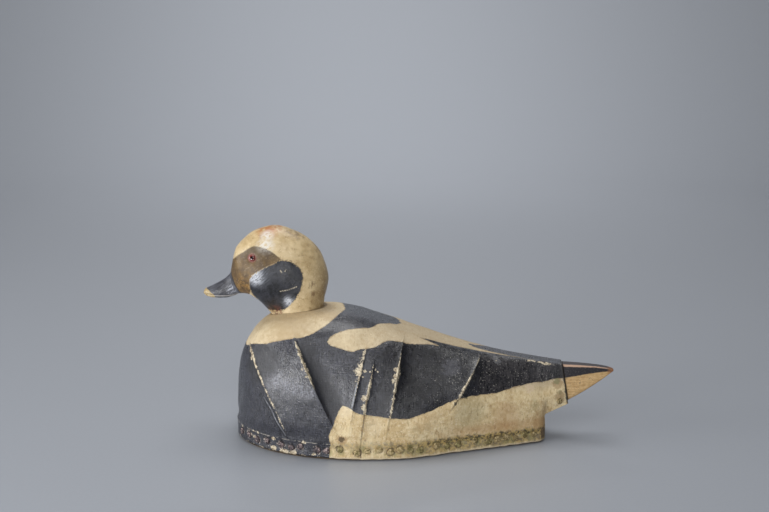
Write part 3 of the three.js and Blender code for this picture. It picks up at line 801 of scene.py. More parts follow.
# %% Canvas mesh
rings = np.concatenate([near, mirrored(near)[:, ::-1]], axis=1)
points, triangles, source = skin(rings, cap_last=True)
neck_away = (np.hypot((points[:, 0] - NECK_MIDDLE_X) / NECK_LONG, points[:, 1] / NECK_WIDE) - 1) * NECK_WIDE
high_up = points[:, 2] > COLLAR_FROM_Z
points[:, 2] += COLLAR_HEIGHT * bell(np.maximum(neck_away, 0), COLLAR_WIDTH) * high_up
canvas = make_mesh("canvas", points, triangles)
for name, values in near_notes.items():
    both = np.concatenate([values, values[:, ::-1]], axis=1)
    note(canvas, name, both.reshape(-1)[source])
note(canvas, "cream", np.concatenate([cream_near, cream_far[:, ::-1]], axis=1).reshape(-1)[source])
tack_away = np.linalg.norm(points[:, None] - tack_middle, axis=-1)
closest = tack_away.argmin(1)
note(canvas, "tack", tack_away.min(1))
note(canvas, "tack_rise", points[:, 2] - tack_middle[closest, 2])
note(canvas, "tack_ring", tack_ring[closest])
note(canvas, "neck", np.where(high_up, neck_away, FAR_OFF))
hand_in(canvas, "painted_canvas", "canvas_body")

# %% [markdown]
# ## The bottom board
# A thick pine board cut to the hem's outline less the canvas, with its lower edge worn
# round. It shows as a dark line under the raw edge, and whole from below. It is one skin
# of rings again, each running from the middle of the underside to the middle of the top.

# %% Bottom board
BOARD_EDGE = 2.2
BOARD_RINGS = 260
BOARD_CROWDING = 1.7
BOARD_TURN = np.linspace(0, np.pi / 2, 7)


def board_rings():
    """Rings at places along the board, closer together round the blunt bow, because the
    share of the way is raised to a power. Each has a quarter circle for its edge."""
    share = np.linspace(0, 1, BOARD_RINGS)
    x = BOW_X + (STERN_X - BOW_X) * share**BOARD_CROWDING
    inner = inset(x, CANVAS + GAP + BOARD_EDGE)
    edge = inset(x, CANVAS + GAP)
    inner[:, 0] = np.where(x >= STERN_X - 0.01, edge[:, 0] - 0.2, inner[:, 0])
    top = board_top(edge[:, 0])
    rows = [np.column_stack([inner * [1, 0], 0 * x]), np.column_stack([inner * [1, 0.5], 0 * x])]
    for turn in BOARD_TURN:
        plan = between(inner, edge, np.sin(turn))
        rows.append(np.column_stack([plan, 0 * x + BOARD_EDGE * (1 - np.cos(turn))]))
    rows.append(np.column_stack([edge, top]))
    rows.append(np.column_stack([inner, top]))
    rows.append(np.column_stack([inner * [1, 0], top]))
    half = folded(np.stack(rows, axis=1), 1)
    return np.concatenate([half, mirrored(half)[:, ::-1]], axis=1)


points, triangles, _ = skin(board_rings(), cap_last=True)
board = make_mesh("board", points, triangles)
hand_in(board, "board_wood", "bottom_board")

# %% [markdown]
# ## The head
# The head is carved from one block. Its sections fan round the throat, from the bill tip
# over the crown to the neck's foot, and each is an oval that joins one place on the upper
# profile to one on the lower. A sculpted mesh could follow it too, but named sections
# keep it close to the solid: they are the same as there, apart from the nape, which is
# moved by up to 3 mm. Then come the finer cuts: the line between the mandibles, a dip
# for each eye, and the uneven marks of the knife.

# %% Sections of the head
HEAD_SECTIONS = [
    {"over": (-206, 145.6), "under": (-205.2, 144), "half": 3.4, "full": 2.2, "low": 0},
    {"over": (-204.6, 148.4), "under": (-202.4, 141.8), "half": 6.6, "full": 2.4, "low": 0.1},
    {"over": (-197.6, 152), "under": (-194.2, 140.4), "half": 8.8, "full": 2.5, "low": 0.25},
    {"over": (-191.4, 155.2), "under": (-185, 140.6), "half": 9.4, "full": 2.5, "low": 0.3},
    {"over": (-184.3, 159.4), "under": (-176.8, 142), "half": 10, "full": 2.5, "low": 0.3},
    {"over": (-178.6, 165.2), "under": (-170.2, 144.6), "half": 11.4, "full": 2.4, "low": 0.25},
    {"over": (-177.9, 166.3), "under": (-168.8, 145), "half": 13.6, "full": 2.3, "low": 0.2},
    {"over": (-175.5, 178.1), "under": (-163.3, 145.6), "half": 18.6, "full": 2.2, "low": 0.2},
    {"over": (-172.2, 190.4), "under": (-157.2, 144.2), "half": 22.4, "full": 2.2, "low": 0.15},
    {"over": (-164.9, 199.6), "under": (-153.2, 142.1), "half": 25, "full": 2.2, "low": 0.15},
    {"over": (-152.6, 208.9), "under": (-149.2, 139), "half": 27, "full": 2.2, "low": 0.15},
    {"over": (-132.5, 214), "under": (-144.3, 134), "half": 28, "full": 2.2, "low": 0.15},
    {"over": (-107, 205.8), "under": (-141.3, 129.9), "half": 27.5, "full": 2.2, "low": 0.1},
    {"over": (-86.2, 184.9), "under": (-139.4, 126.8), "half": 25.5, "full": 2.1, "low": 0.05},
    {"over": (-79.8, 160.5), "under": (-138, 124.8), "half": 23.5, "full": 2, "low": 0},
    {"over": (-84.5, 136), "under": (-137.4, 122.6), "half": 22.8, "full": 2, "low": 0},
    {"over": (-85, 118), "under": (-138, 110), "half": 22.6, "full": 2, "low": 0},
]
HEAD_ROWS, HEAD_SIDES = 220, 150
head_place = np.arange(len(HEAD_SECTIONS))
over_x, over_z = (batten(head_place, column(HEAD_SECTIONS, "over")[:, i]) for i in (0, 1))
under_x, under_z = (batten(head_place, column(HEAD_SECTIONS, "under")[:, i]) for i in (0, 1))
head_half, head_full, head_low = (
    batten(head_place, column(HEAD_SECTIONS, key)) for key in ("half", "full", "low")
)


def head_point(place, angle):
    """Point of the head: a superellipse between the lower and the upper profile, whose
    widest part is lowered by the square of the width."""
    power = 2 / head_full(place)
    rise = np.sign(np.cos(angle)) * np.abs(np.cos(angle)) ** power
    width = np.sign(np.sin(angle)) * np.abs(np.sin(angle)) ** power
    height = 0.5 + 0.5 * (rise - head_low(place) * width**2)
    return np.stack([
        between(under_x(place), over_x(place), height),
        -head_half(place) * width,
        between(under_z(place), over_z(place), height),
    ], -1)


def grid_square(points):
    """Unit vectors square to a ring grid, from the differences between its neighbours."""
    along = np.gradient(points, axis=0)
    around = np.roll(points, -1, axis=1) - np.roll(points, 1, axis=1)
    square = np.cross(around, along)
    return square / np.maximum(np.linalg.norm(square, axis=-1, keepdims=True), 1e-9)


# %% Finer cuts in the head
EYE_X, EYE_Z, EYE_RADIUS = -152, 185.5, 3.4
EYE_RIM_DEPTH, EYE_RIM_WIDTH, EYE_RIM_FROM_Y = 1.0, 5.0, 8
MANDIBLE = batten([-206, -200, -190, -178, -169], [144.6, 144.2, 143.6, 144, 146])
MANDIBLE_DEPTH, MANDIBLE_WIDTH = 0.45, 0.8
KNIFE_DEPTH, KNIFE_SIZE = 0.22, 17
GOUGE_DEPTH, GOUGE_SIZE = 0.1, 6

share = np.linspace(0, 1, HEAD_ROWS)
place, angle = np.meshgrid(
    share * head_place[-1], 2 * np.pi * np.arange(HEAD_SIDES) / HEAD_SIDES, indexing="ij"
)
rings = head_point(place, angle)
square = grid_square(rings)
square *= np.sign((square * (rings - rings.mean(1, keepdims=True))).sum(-1).mean())
x, y, z = np.moveaxis(rings, -1, 0)
eye_away = np.hypot(x - EYE_X, z - EYE_Z)
cut = -EYE_RIM_DEPTH * bell(eye_away, EYE_RIM_WIDTH) * (np.abs(y) > EYE_RIM_FROM_Y)
on_bill = (1 - ease(x, -172, -168)) * ease(x, -204, -198)
cut -= MANDIBLE_DEPTH * bell(z - MANDIBLE(x), MANDIBLE_WIDTH) * on_bill
cut += KNIFE_DEPTH * ripple(rings, KNIFE_SIZE, seed=11) + GOUGE_DEPTH * ripple(rings, GOUGE_SIZE, seed=12)
rings += square * (cut * ease(place, 0, 1))[..., None]
print("the head is", round(float(rings[..., 1].max() - rings[..., 1].min()), 1), "mm wide")

# %% [markdown]
# The head's colours are drawn as the side view shows them, as (x, z) places. Each line
# runs on past the head where a colour goes over the crown, the brow or the chin.

# %% Painted areas of the head
BILL = [
    [(-176.3, 169), (-175.4, 166), (-173.2, 161.5), (-171, 156.5), (-168.6, 152), (-166.8, 148),
     (-164, 143)],
    [(-164, 120), (-230, 120), (-230, 175), (-178, 175)],
]
NAIL = [
    [(-205, 153), (-202.6, 149.5), (-199.9, 148.5), (-198.2, 147.3), (-196, 145.5), (-193.7, 143.3),
     (-192, 138)],
    [(-215, 130), (-215, 160)],
]
FACE = [
    [(-182, 180), (-174.2, 181), (-168, 186), (-161.7, 190), (-157.5, 193), (-149.4, 196.5), (-143.3, 196),
     (-134.2, 192.6), (-127.3, 188), (-122.4, 184)],
    [(-122.4, 184), (-128.1, 181.5), (-139.3, 176.5), (-146.8, 172), (-152, 168), (-154.6, 163.8)],
    [(-154.6, 163.8), (-154.6, 158), (-154.2, 153), (-156.4, 148.5), (-159, 140)],
    [(-163, 135), (-185, 140), (-185, 170)],
]
CHEEK = [
    [(-125.3, 184), (-116.6, 183.3), (-109, 179.2), (-104.3, 174), (-102.2, 166.7), (-104.2, 155.8),
     (-108.3, 146.7), (-115.5, 138.3), (-122, 133), (-126.5, 131.3)],
    [(-126.5, 131.3), (-131, 130.6), (-136, 130.4), (-141, 131)],
    [(-141, 131), (-144, 134.8), (-148, 140.2), (-151.3, 145), (-154, 150.5), (-155.2, 157),
     (-154.6, 163.8)],
    [(-154.6, 163.8), (-152, 168), (-146.8, 172), (-139.3, 176.5), (-128.1, 181.5), (-125.3, 184)],
]
HEAD_SCRATCHES = [
    [(-124.8, 152.7), (-116, 154.6), (-108.2, 157.5)],
    [(-124.2, 174.4), (-122.4, 171.4)],
    [(-120.4, 172.6), (-118.2, 174.4)],
]


def painted_side(points, lines):
    """Distance in mm to an edge painted on both sides of the head, below zero outside."""
    outline = trace(lines)
    flat = points[..., [0, 2]]
    away = nearest(flat, outline)
    return np.where(enclosed(flat, outline), away, -away)


points, triangles, source = skin(rings, cap_first=True, cap_last=True)
# The smooth crown would stand 0.15 mm above the flat facets of the solid
points[:, 2] = np.minimum(points[:, 2], solid_box[1][2] / MM)
head = make_mesh("head", points, triangles)
for name, lines in (("bill", BILL), ("nail", NAIL), ("face", FACE), ("cheek", CHEEK)):
    note(head, name, painted_side(points, lines))
note(head, "pale_line", nearest(points[:, [0, 2]], np.vstack([trace([line]) for line in HEAD_SCRATCHES])))
note(head, "eye", np.hypot(points[:, 0] - EYE_X, points[:, 2] - EYE_Z))
note(head, "mandible", points[:, 2] - MANDIBLE(points[:, 0]))
hand_in(head, "painted_head", "head")

# %% [markdown]
# ## Glass eyes
# Taxidermists' glass eyes: a dome of clear glass painted at the back with a dark pupil
# and a red ring. Real layers of glass would need clear shading, which hides the colour
# in a small picture, so the dome is one skin with the ring in its material under a coat.

# %% Eyes
EYE_DOME, EYE_SUNK, EYE_PROUD = 1.6, 1.6, 0.9
PUPIL_BACK = 0.8
DOME_RINGS, DOME_SIDES = 12, 32


def dome(radius, height, sunk):
    """A low dome about +Z on a short round stem: the rim goes round a quarter circle."""
    turn = np.linspace(0, np.pi / 2, DOME_RINGS)
    radii = np.append([radius, radius], radius * np.cos(turn[1:]))
    heights = np.append([-sunk, 0], height * np.sin(turn[1:]))
    angle = 2 * np.pi * np.arange(DOME_SIDES) / DOME_SIDES
    ring = np.stack([np.cos(angle), np.sin(angle), 0 * angle], -1)
    return radii[:, None, None] * ring + heights[:, None, None] * np.array([0, 0, 1])


def aimed(points, middle, facing):
    """Turns points from +Z to a direction, by three vectors square to one another."""
    facing = facing / np.linalg.norm(facing)
    sideways = np.cross([0, 0, 1], facing)
    sideways /= np.linalg.norm(sideways)
    upright = np.cross(facing, sideways)
    return middle + points @ np.stack([sideways, upright, facing])


def seat(x, z):
    """The place on the near side of the head at x and z, and the direction square to it."""
    flat = np.hypot(rings[..., 0] - x, rings[..., 2] - z) + FAR_OFF * (rings[..., 1] > 0)
    row, column_number = np.unravel_index(np.argmin(flat), flat.shape)
    return rings[row, column_number], grid_square(rings)[row, column_number]


eye_middle, eye_facing = seat(EYE_X, EYE_Z)
eye_facing *= -np.sign(eye_facing[1])
eye_middle = eye_middle + EYE_PROUD * eye_facing
for name, flip in (("eye_left", 1), ("eye_right", -1)):
    placed = aimed(dome(EYE_RADIUS, EYE_DOME, EYE_SUNK), eye_middle, eye_facing) * [1, flip, 1]
    points, triangles, _ = skin(placed, cap_first=True)
    eye = make_mesh("glass_" + name, points, triangles)
    from_pupil = points - eye_middle * [1, flip, 1] - [PUPIL_BACK, 0, 0]
    note(eye, "centre", np.linalg.norm(np.cross(from_pupil, eye_facing * [1, flip, 1]), axis=1))
    hand_in(eye, "eye_glass", name)

# %% [markdown]
# ## The tail board
# The centre board runs out behind the canvas as a thin wedge. Its sections are rounded
# rectangles, and they lean with the seam at the front and stand upright at the tip.

# %% Tail board
TAIL_TIP_X = 206
TAIL_TOP = batten([154.5, 180, 198, TAIL_TIP_X], [76.8, 75.3, 73.3, 70.8])
TAIL_UNDER = batten([161.5, 176, 193, TAIL_TIP_X], [38.5, 47.2, 59, 69.2])
TAIL_HALF, TIP_HALF, TAIL_TAPER = 7.4, 3.2, 1.5
TAIL_CORNER = 6
TAIL_WAVE, TAIL_WAVE_SIZE = 0.15, 12
TAIL_RINGS, TAIL_SIDES = 90, 72
SEAM_LOW, SEAM_HIGH = 38.5, 75.8
seam_top_x, seam_top_z = STATIONS[-1]["top"]
SEAM_LEAN = (seam_top_x - SEAM_FOOT["x"]) / (seam_top_z - SEAM_FOOT["z"])


def seam_x(z):
    """x of the leaning tail seam at height z, with the gap behind the canvas."""
    return SEAM_FOOT["x"] + SEAM_LEAN * (z - SEAM_FOOT["z"]) + GAP


share, angle = np.meshgrid(
    np.linspace(0, 1, TAIL_RINGS), 2 * np.pi * np.arange(TAIL_SIDES) / TAIL_SIDES, indexing="ij"
)
x_top = between(seam_x(SEAM_HIGH), TAIL_TIP_X, share)
x_under = between(seam_x(SEAM_LOW), TAIL_TIP_X, share)
corner = 2 / TAIL_CORNER
wide = np.sign(np.sin(angle)) * np.abs(np.sin(angle)) ** corner
high = 0.5 + 0.5 * np.sign(np.cos(angle)) * np.abs(np.cos(angle)) ** corner
half = between(TAIL_HALF, TIP_HALF, share**TAIL_TAPER)
rings_tail = np.stack([
    between(x_under, x_top, high), -half * wide, between(TAIL_UNDER(x_under), TAIL_TOP(x_top), high)
], -1)
rings_tail += TAIL_WAVE * ripple(rings_tail, TAIL_WAVE_SIZE, seed=21)[..., None] * [0, 1, 0]
points, triangles, source = skin(rings_tail, cap_first=True, cap_last=True)
tail_board = make_mesh("tail_wedge", points, triangles)
note(tail_board, "top_edge", TAIL_TOP(points[:, 0]) - points[:, 2])
note(tail_board, "under_edge", points[:, 2] - TAIL_UNDER(points[:, 0]))
hand_in(tail_board, "painted_tail", "tail_board")

# %% [markdown]
# ## Copper tacks
# Fifty-three hammered heads, each a low dome of a few faces that is dented in its own
# way. They are one mesh, since no tack is ever moved alone.

# %% Tacks
TACK_RADIUS, TACK_DOME = 3.8, 1.4
TACK_TILT, TACK_DENT = 0.05, 0.09
TACK_RINGS, TACK_SIDES = 6, 18
draw = np.random.default_rng(5)
turn = np.linspace(0, np.pi / 2, TACK_RINGS)
spokes = 2 * np.pi * np.arange(TACK_SIDES) / TACK_SIDES
tack_points, tack_triangles, tack_rim, tack_age = [], [], [], []
total = 0
for middle, facing in zip(tack_middle, tack_facing):
    radius = TACK_RADIUS * draw.uniform(0.86, 1.0)
    tilt = facing + draw.normal(0, TACK_TILT, 3)
    dents = 1 + TACK_DENT * np.sin(spokes * draw.integers(2, 5) + draw.uniform(0, 6)) - TACK_DENT
    radii = radius * np.append(1, np.cos(turn))[:, None] * dents
    heights = np.append(-0.5, TACK_DOME * draw.uniform(0.75, 1.0) * np.sin(turn) ** 0.8)
    ring = np.stack([radii * np.cos(spokes), radii * np.sin(spokes), heights[:, None] + 0 * radii], -1)
    points, triangles, source = skin(aimed(ring, middle, tilt), cap_first=True)
    if volume(points - middle, triangles) < 0:
        triangles = triangles[:, ::-1]
    tack_points.append(points)
    tack_triangles.append(triangles + total)
    tack_rim.append((np.hypot(ring[..., 0], ring[..., 1]) / radius).reshape(-1)[source])
    tack_age.append(np.full(len(points), draw.uniform()))
    total += len(points)
tacks = make_mesh("tacks", np.vstack(tack_points), np.vstack(tack_triangles))
note(tacks, "rim", np.concatenate(tack_rim))
note(tacks, "age", np.concatenate(tack_age))
hand_in(tacks, "tack_copper", *[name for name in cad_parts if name.startswith("tack_")])

# %% [markdown]
# ## Writing a material as arithmetic
# Blender's materials are graphs of nodes. Placed by hand they are quick to try, but a
# graph of eighty nodes is hard to read afterwards. Here one small class wraps a socket,
# so that sums and products are written as in Python and add their Math nodes, and one
# method adds any other node. A coat lays one more colour over a wire that is a colour.

# %% Sockets with arithmetic


class Wire:
    """One output of a material's node, which can be used in sums like a number."""

    def __init__(self, finish, socket):
        self.finish = finish
        self.socket = socket

    def __add__(self, other):
        return self.finish.maths("ADD", self, other)

    def __sub__(self, other):
        return self.finish.maths("SUBTRACT", self, other)

    def __rsub__(self, other):
        return self.finish.maths("SUBTRACT", other, self)

    def __mul__(self, other):
        return self.finish.maths("MULTIPLY", self, other)

    def __truediv__(self, other):
        return self.finish.maths("DIVIDE", self, other)

    def __or__(self, other):
        return self.finish.maths("MAXIMUM", self, other)

    def __abs__(self):
        return self.finish.maths("ABSOLUTE", self, 0.0)

    __radd__ = __add__
    __rmul__ = __mul__

    def step(self, low, high):
        """Rises smoothly from 0 at low to 1 at high, or falls where high is the lower."""
        sockets = {"Value": self, "From Min": low, "From Max": high}
        return self.finish.node("MapRange", {"interpolation_type": "SMOOTHSTEP"}, sockets)

    def coat(self, share, red, green, blue):
        """This colour with a screen colour laid over it by a share from 0 to 1."""
        return self.finish.blend(share, self, tint(red, green, blue))


class Finish:
    """One material: its shader, with the fixed values of its sockets, and its nodes."""

    def __init__(self, name, fixed):
        self.material = bpy.data.materials.new(name)
        self.material.use_nodes = True
        self.tree = self.material.node_tree
        self.shader = self.tree.nodes["Principled BSDF"]
        for socket, value in fixed.items():
            self.shader.inputs[socket].default_value = value
        place = self.node("TexCoord", output="Object")
        self.place = self.node("VectorMath", {"operation": "SCALE"}, {0: place, "Scale": 1 / MM})

    def node(self, kind, settings=None, sockets=None, output=0):
        """Adds a node: first its settings, then the values and links of its sockets."""
        made = self.tree.nodes.new("ShaderNode" + kind)
        for name, value in (settings or {}).items():
            setattr(made, name, value)
        for name, value in (sockets or {}).items():
            self.plug(made.inputs[name], value)
        return Wire(self, made.outputs[output])

    def plug(self, socket, value):
        """Links a wire to a socket, or sets the socket to a fixed value."""
        if isinstance(value, Wire):
            self.tree.links.new(value.socket, socket)
        else:
            socket.default_value = value

    def maths(self, operation, first, second):
        """A Math node for two wires or numbers."""
        return self.node("Math", {"operation": operation}, {0: first, 1: second})

    def noted(self, name):
        """A number kept on the mesh's points."""
        return self.node("Attribute", {"attribute_name": name}, output="Fac")

    def axis(self, name):
        """One coordinate of the place in mm: X, Y or Z."""
        return self.node("SeparateXYZ", {}, {0: self.place}, output=name)

    def noise(self, size, detail=3.0, rough=0.5, shift=0.0, place=None):
        """Noise from about -0.5 to 0.5. size is the size of its lumps in mm, one number
        or one for each axis, and shift moves the pattern."""
        sizes = size if isinstance(size, tuple) else (size, size, size)
        small = self.node(
            "VectorMath",
            {"operation": "MULTIPLY_ADD"},
            {0: place or self.place, 1: tuple(1 / s for s in sizes), 2: (shift, shift * 1.7, shift * 2.3)},
        )
        sockets = {"Vector": small, "Scale": 1.0, "Detail": detail, "Roughness": rough}
        return self.node("TexNoise", {}, sockets) - 0.5

    def near(self, middle, radius):
        """1 at a place in mm, falling smoothly to 0 at the radius."""
        ends = {0: self.place, 1: middle}
        away = self.node("VectorMath", {"operation": "DISTANCE"}, ends, output="Value")
        return away.step(radius, radius * 0.2)

    def blend(self, share, under, over):
        """Lays one colour over another by a share from 0 to 1."""
        return self.node("Mix", {"data_type": "RGBA"}, {0: share, 6: under, 7: over}, output=2)

    def dress(self, piece, colour, rough, height=None):
        """Gives the shader its colour, roughness and relief in mm, and puts it on a piece."""
        self.plug(self.shader.inputs["Base Color"], colour)
        self.plug(self.shader.inputs["Roughness"], rough)
        if height is not None:
            bump = self.node("Bump", {}, {"Height": height, "Distance": MM, "Strength": 1.0})
            self.plug(self.shader.inputs["Normal"], bump)
        for one in np.atleast_1d(piece):
            one.data.materials.clear()
            one.data.materials.append(self.material)


def tint(red, green, blue):
    """A screen colour from 0 to 255 as the linear colour that Blender works in."""
    screen = np.array([red, green, blue]) / 255
    linear = np.where(screen > 0.04045, ((screen + 0.055) / 1.055) ** 2.4, screen / 12.92)
    return (*linear.tolist(), 1.0)


print("mid grey is", round(tint(128, 128, 128)[0], 3), "in linear light")

# %% [markdown]
# ## Painted canvas
# Two house paints on cotton duck: a black that has gone grey and dusty on the threads,
# and a cream that has yellowed. Under both lies a pale ground, which shows at the hoops,
# in the chips and as specks. Round the tacks the copper has stained the cream green, and
# dirt has settled over the hem. The threads are streaks of noise that run up and along,
# because a regular pattern as fine as these threads would shimmer in a small picture.

# %% Canvas: threads and edges
SHEEN = 0.7
cloth = Finish("painted canvas", {"Specular IOR Level": SHEEN})
along_hull = cloth.axis("X")
upwards = cloth.axis("Z")
girth = cloth.noted("back")
threads_up = cloth.noise((1.0, 7, 7), detail=3, rough=0.7)
threads_along = cloth.noise((7, 1.0, 1.0), detail=3, rough=0.7, shift=3)
blotch = cloth.noise(24, shift=5)
mottle = cloth.noise(5, shift=7)
grit = cloth.noise(1.5, detail=4, rough=0.6, shift=9)
ragged = mottle * 2.2 + grit * 2.4
rear = (along_hull + blotch * 40).step(-15, 60)
cream = (cloth.noted("cream") + ragged * 0.7).step(-0.35, 0.35)

# %% Canvas: black paint
bow = (along_hull + blotch * 40).step(-118, -160)
chalky = (along_hull + blotch * 40).step(-8, -45)
threads = 0.45 + threads_up * 1.7 + threads_along * 1.6 + blotch * 0.5 + grit * 0.5
deep = cloth.blend(threads.step(0.1, 0.95), tint(8, 8, 10), tint(42, 42, 49))
brownish = (along_hull + blotch * 20).step(66, 80) * (threads + mottle).step(0.1, 0.8)
deep = deep.coat(brownish * 0.6, 74, 70, 70)
dusty = cloth.blend(threads.step(0, 1), tint(24, 24, 29), tint(70, 71, 80))
black = cloth.blend(chalky, deep, dusty)
# The top of the back is paler grey: settled dust, with a painted sheen
dust_and_sheen = (girth + mottle * 0.2).step(0.86, 1.0) * threads.step(-0.2, 0.8)
black = black.coat(dust_and_sheen * 0.8, 104, 106, 112)
salt = (cloth.noise(1.3, detail=1, shift=13) + rear * 0.05).step(0.2, 0.28)
salt = salt * (cloth.noise(14, shift=15) + rear * 0.12).step(-0.08, 0.16)
rubs = cloth.noise((1.1, 1.1, 5), shift=17).step(0.14, 0.26) * bow
black = black.coat(salt * 0.75 | rubs * 0.35, 186, 182, 172)
# Pale lines: a crack, and a painted highlight along the fold at the foot of the third hoop
crack_and_glint = (cloth.noted("pale_line") + grit * 1.5).step(1.1, 0.3)
black = black.coat(crack_and_glint * 0.65, 160, 162, 168)
# Painted highlight: the black is made paler along a line between the first two hoops
painted_highlight = (cloth.noted("highlight_line") + mottle * 6).step(12, 1)
black = black.coat(painted_highlight * (0.05 + (threads + grit).step(0.1, 0.9) * 0.5), 158, 159, 168)
# Painted shade: behind the second hoop, and in a patch between the first two, the black is painted darker;
# the same mask makes it rougher
dull_and_shaded = (cloth.noted("dull_and_shaded") + mottle * 4).step(17, 3)
dull_and_shaded = dull_and_shaded | (cloth.near((-138, -50, 86), 28) + mottle * 0.4).step(0, 0.6)
black = black.coat(dull_and_shaded * 0.6, 20, 20, 24)
groove = abs(cloth.noted("pale_line") - 1.7 + grit).step(0.9, 0.2)
black = black.coat(groove * 0.8, 10, 10, 12)

# %% Canvas: cream paint
fibres = cloth.noise((1.6, 6, 5), detail=3, rough=0.7, shift=21)
grains = cloth.noise(1.9, detail=3, rough=0.75, shift=23)
patchy = (blotch + mottle * 0.8).step(-0.25, 0.3)
low_cream = cloth.blend(patchy, tint(228, 208, 164), tint(200, 172, 122))
high_cream = cloth.blend(patchy, tint(216, 198, 163), tint(199, 178, 140))
# The upper cream is darker towards the rear
cream_darker_behind = (along_hull + blotch * 20).step(-50, 5)
high_cream = high_cream.coat(cream_darker_behind * 0.6, 180, 162, 132)
buff = cloth.blend(girth.step(0.4, 0.55), low_cream, high_cream)
weathered = cloth.noise((9, 6, 6), detail=6, rough=0.72, shift=25)
drawn_out = cloth.noise((24, 5, 5), detail=5, rough=0.65, shift=27)
coarse = 0.5 + girth.step(0.55, 0.3) * 0.7
buff = buff.coat(weathered.step(0.0, 0.24) * coarse * 0.6, 166, 132, 82)
buff = buff.coat(weathered.step(-0.04, -0.24) * coarse * 0.55, 234, 218, 182)
buff = buff.coat(drawn_out.step(0.04, 0.22) * girth.step(0.45, 0.3) * 0.45, 146, 122, 78)
greenish = cloth.noise(26, shift=31).step(0.04, 0.24) * along_hull.step(20, 70)
buff = buff.coat(greenish * 0.55, 172, 164, 124)
stains = cloth.noise(11, detail=5, rough=0.65, shift=33).step(0.06, 0.3)
buff = buff.coat(stains * (0.25 + girth.step(0.5, 0.2) * 0.35), 166, 122, 72)
buff = buff.coat(grains.step(0.0, 0.24) * coarse * 0.7, 238, 224, 194)
buff = buff.coat(fibres.step(0.0, 0.24) * coarse * 0.65, 164, 128, 80)
buff = buff.coat((fibres + threads_up).step(0.05, 0.45) * coarse * 0.55, 136, 110, 68)
hoop = cloth.noted("hoop")
split = (hoop + grit * 1.4).step(1.3, 0.3) * cloth.noted("crack")
buff = buff.coat(split, 72, 56, 34)
outline = abs(cloth.noted("cream") + ragged * 0.7 - 0.5).step(1.1, 0.3)
outline = outline * (mottle + grit).step(-0.12, 0.08)
buff = buff.coat(outline * 0.55, 104, 76, 44)

# %% Canvas: bare ground
wear = cloth.noted("wear")
worn = (wear * 1.25 - hoop / 1.5 + ragged * wear.step(0, 0.3)).step(0.15, 0.6)
chipped = (cloth.noted("chip") + ragged * 1.3).step(-0.1, 0.5)
bare = worn | chipped
pale = cloth.blend((mottle + grit * 1.6).step(-0.3, 0.2), tint(118, 98, 70), tint(212, 199, 172))
body = cloth.blend(cream, cloth.blend(bare, black, pale), buff)

# %% Canvas: the hem
hem = cloth.noted("hem")
fold_line = abs(hem + mottle * 1.5 - 0.3).step(0.9, 0.1)
body = body.coat(fold_line * (1 - cream) * (mottle + grit).step(-0.1, 0.14) * 0.65, 190, 184, 172)
grimy = (along_hull + blotch * 60).step(-40, 50)
clouded = hem + mottle * 9 + grit * 5
grime = clouded.step(5, 0.5) * clouded.step(-8, -2)
clots = cloth.noise(3.4, detail=4, rough=0.65, shift=43)
gold = cloth.blend((clots + grains * 0.5).step(-0.08, 0.08), tint(176, 150, 88), tint(56, 47, 24))
between_heads = (hem + mottle * 8 + grit * 4).step(-13, -9) * hem.step(-2, -5) * grimy
body = cloth.blend((grime * (0.4 + grimy * 0.55) | between_heads * 0.7) * cream, body, gold)
rust = abs(hem + mottle * 8 - 8).step(8, 1) * (along_hull + blotch * 50).step(20, 70)
body = body.coat(rust * cream * 0.4, 168, 118, 62)
to_tack = cloth.noted("tack")
below_fold = hem.step(2, -1)
verdigris = (cloth.noise(6, shift=41) + grit * 0.4).step(-0.04, 0.14) * to_tack.step(9, 4) * below_fold
body = body.coat(verdigris * cream * 0.6, 146, 140, 86)
# The dark ring is the copper's stain, made stronger above each head as a painted shadow
shade_above_tack = (cloth.noted("tack_rise") + mottle * 5).step(0, 3)
ring_and_shade_share = (cloth.noted("tack_ring") + shade_above_tack * 0.25).step(0.4, 0.75)
broken = (mottle + grit * 1.2).step(-0.14, 0.04) * (1 - along_hull.step(-30, 0) * 0.45)
ring = abs(to_tack - 4.1 + grit * 2 + mottle * 1.5).step(1.1, 0.3) * ring_and_shade_share * broken
body = body.coat(ring * (0.35 + cream * 0.5), 62, 48, 26)
flakes = abs(to_tack - 4.4 + mottle * 3).step(1.7, 0.4) * (mottle + grit).step(0.07, 0.2)
body = body.coat(flakes * (1 - cream) * below_fold * 0.75, 204, 190, 178)
raw = (cloth.noted("raw") + ragged * 0.5).step(1.7, 0.5)
body = body.coat(raw * (cream * 0.8 | (grit + mottle).step(0.04, 0.2)), 222, 207, 178)

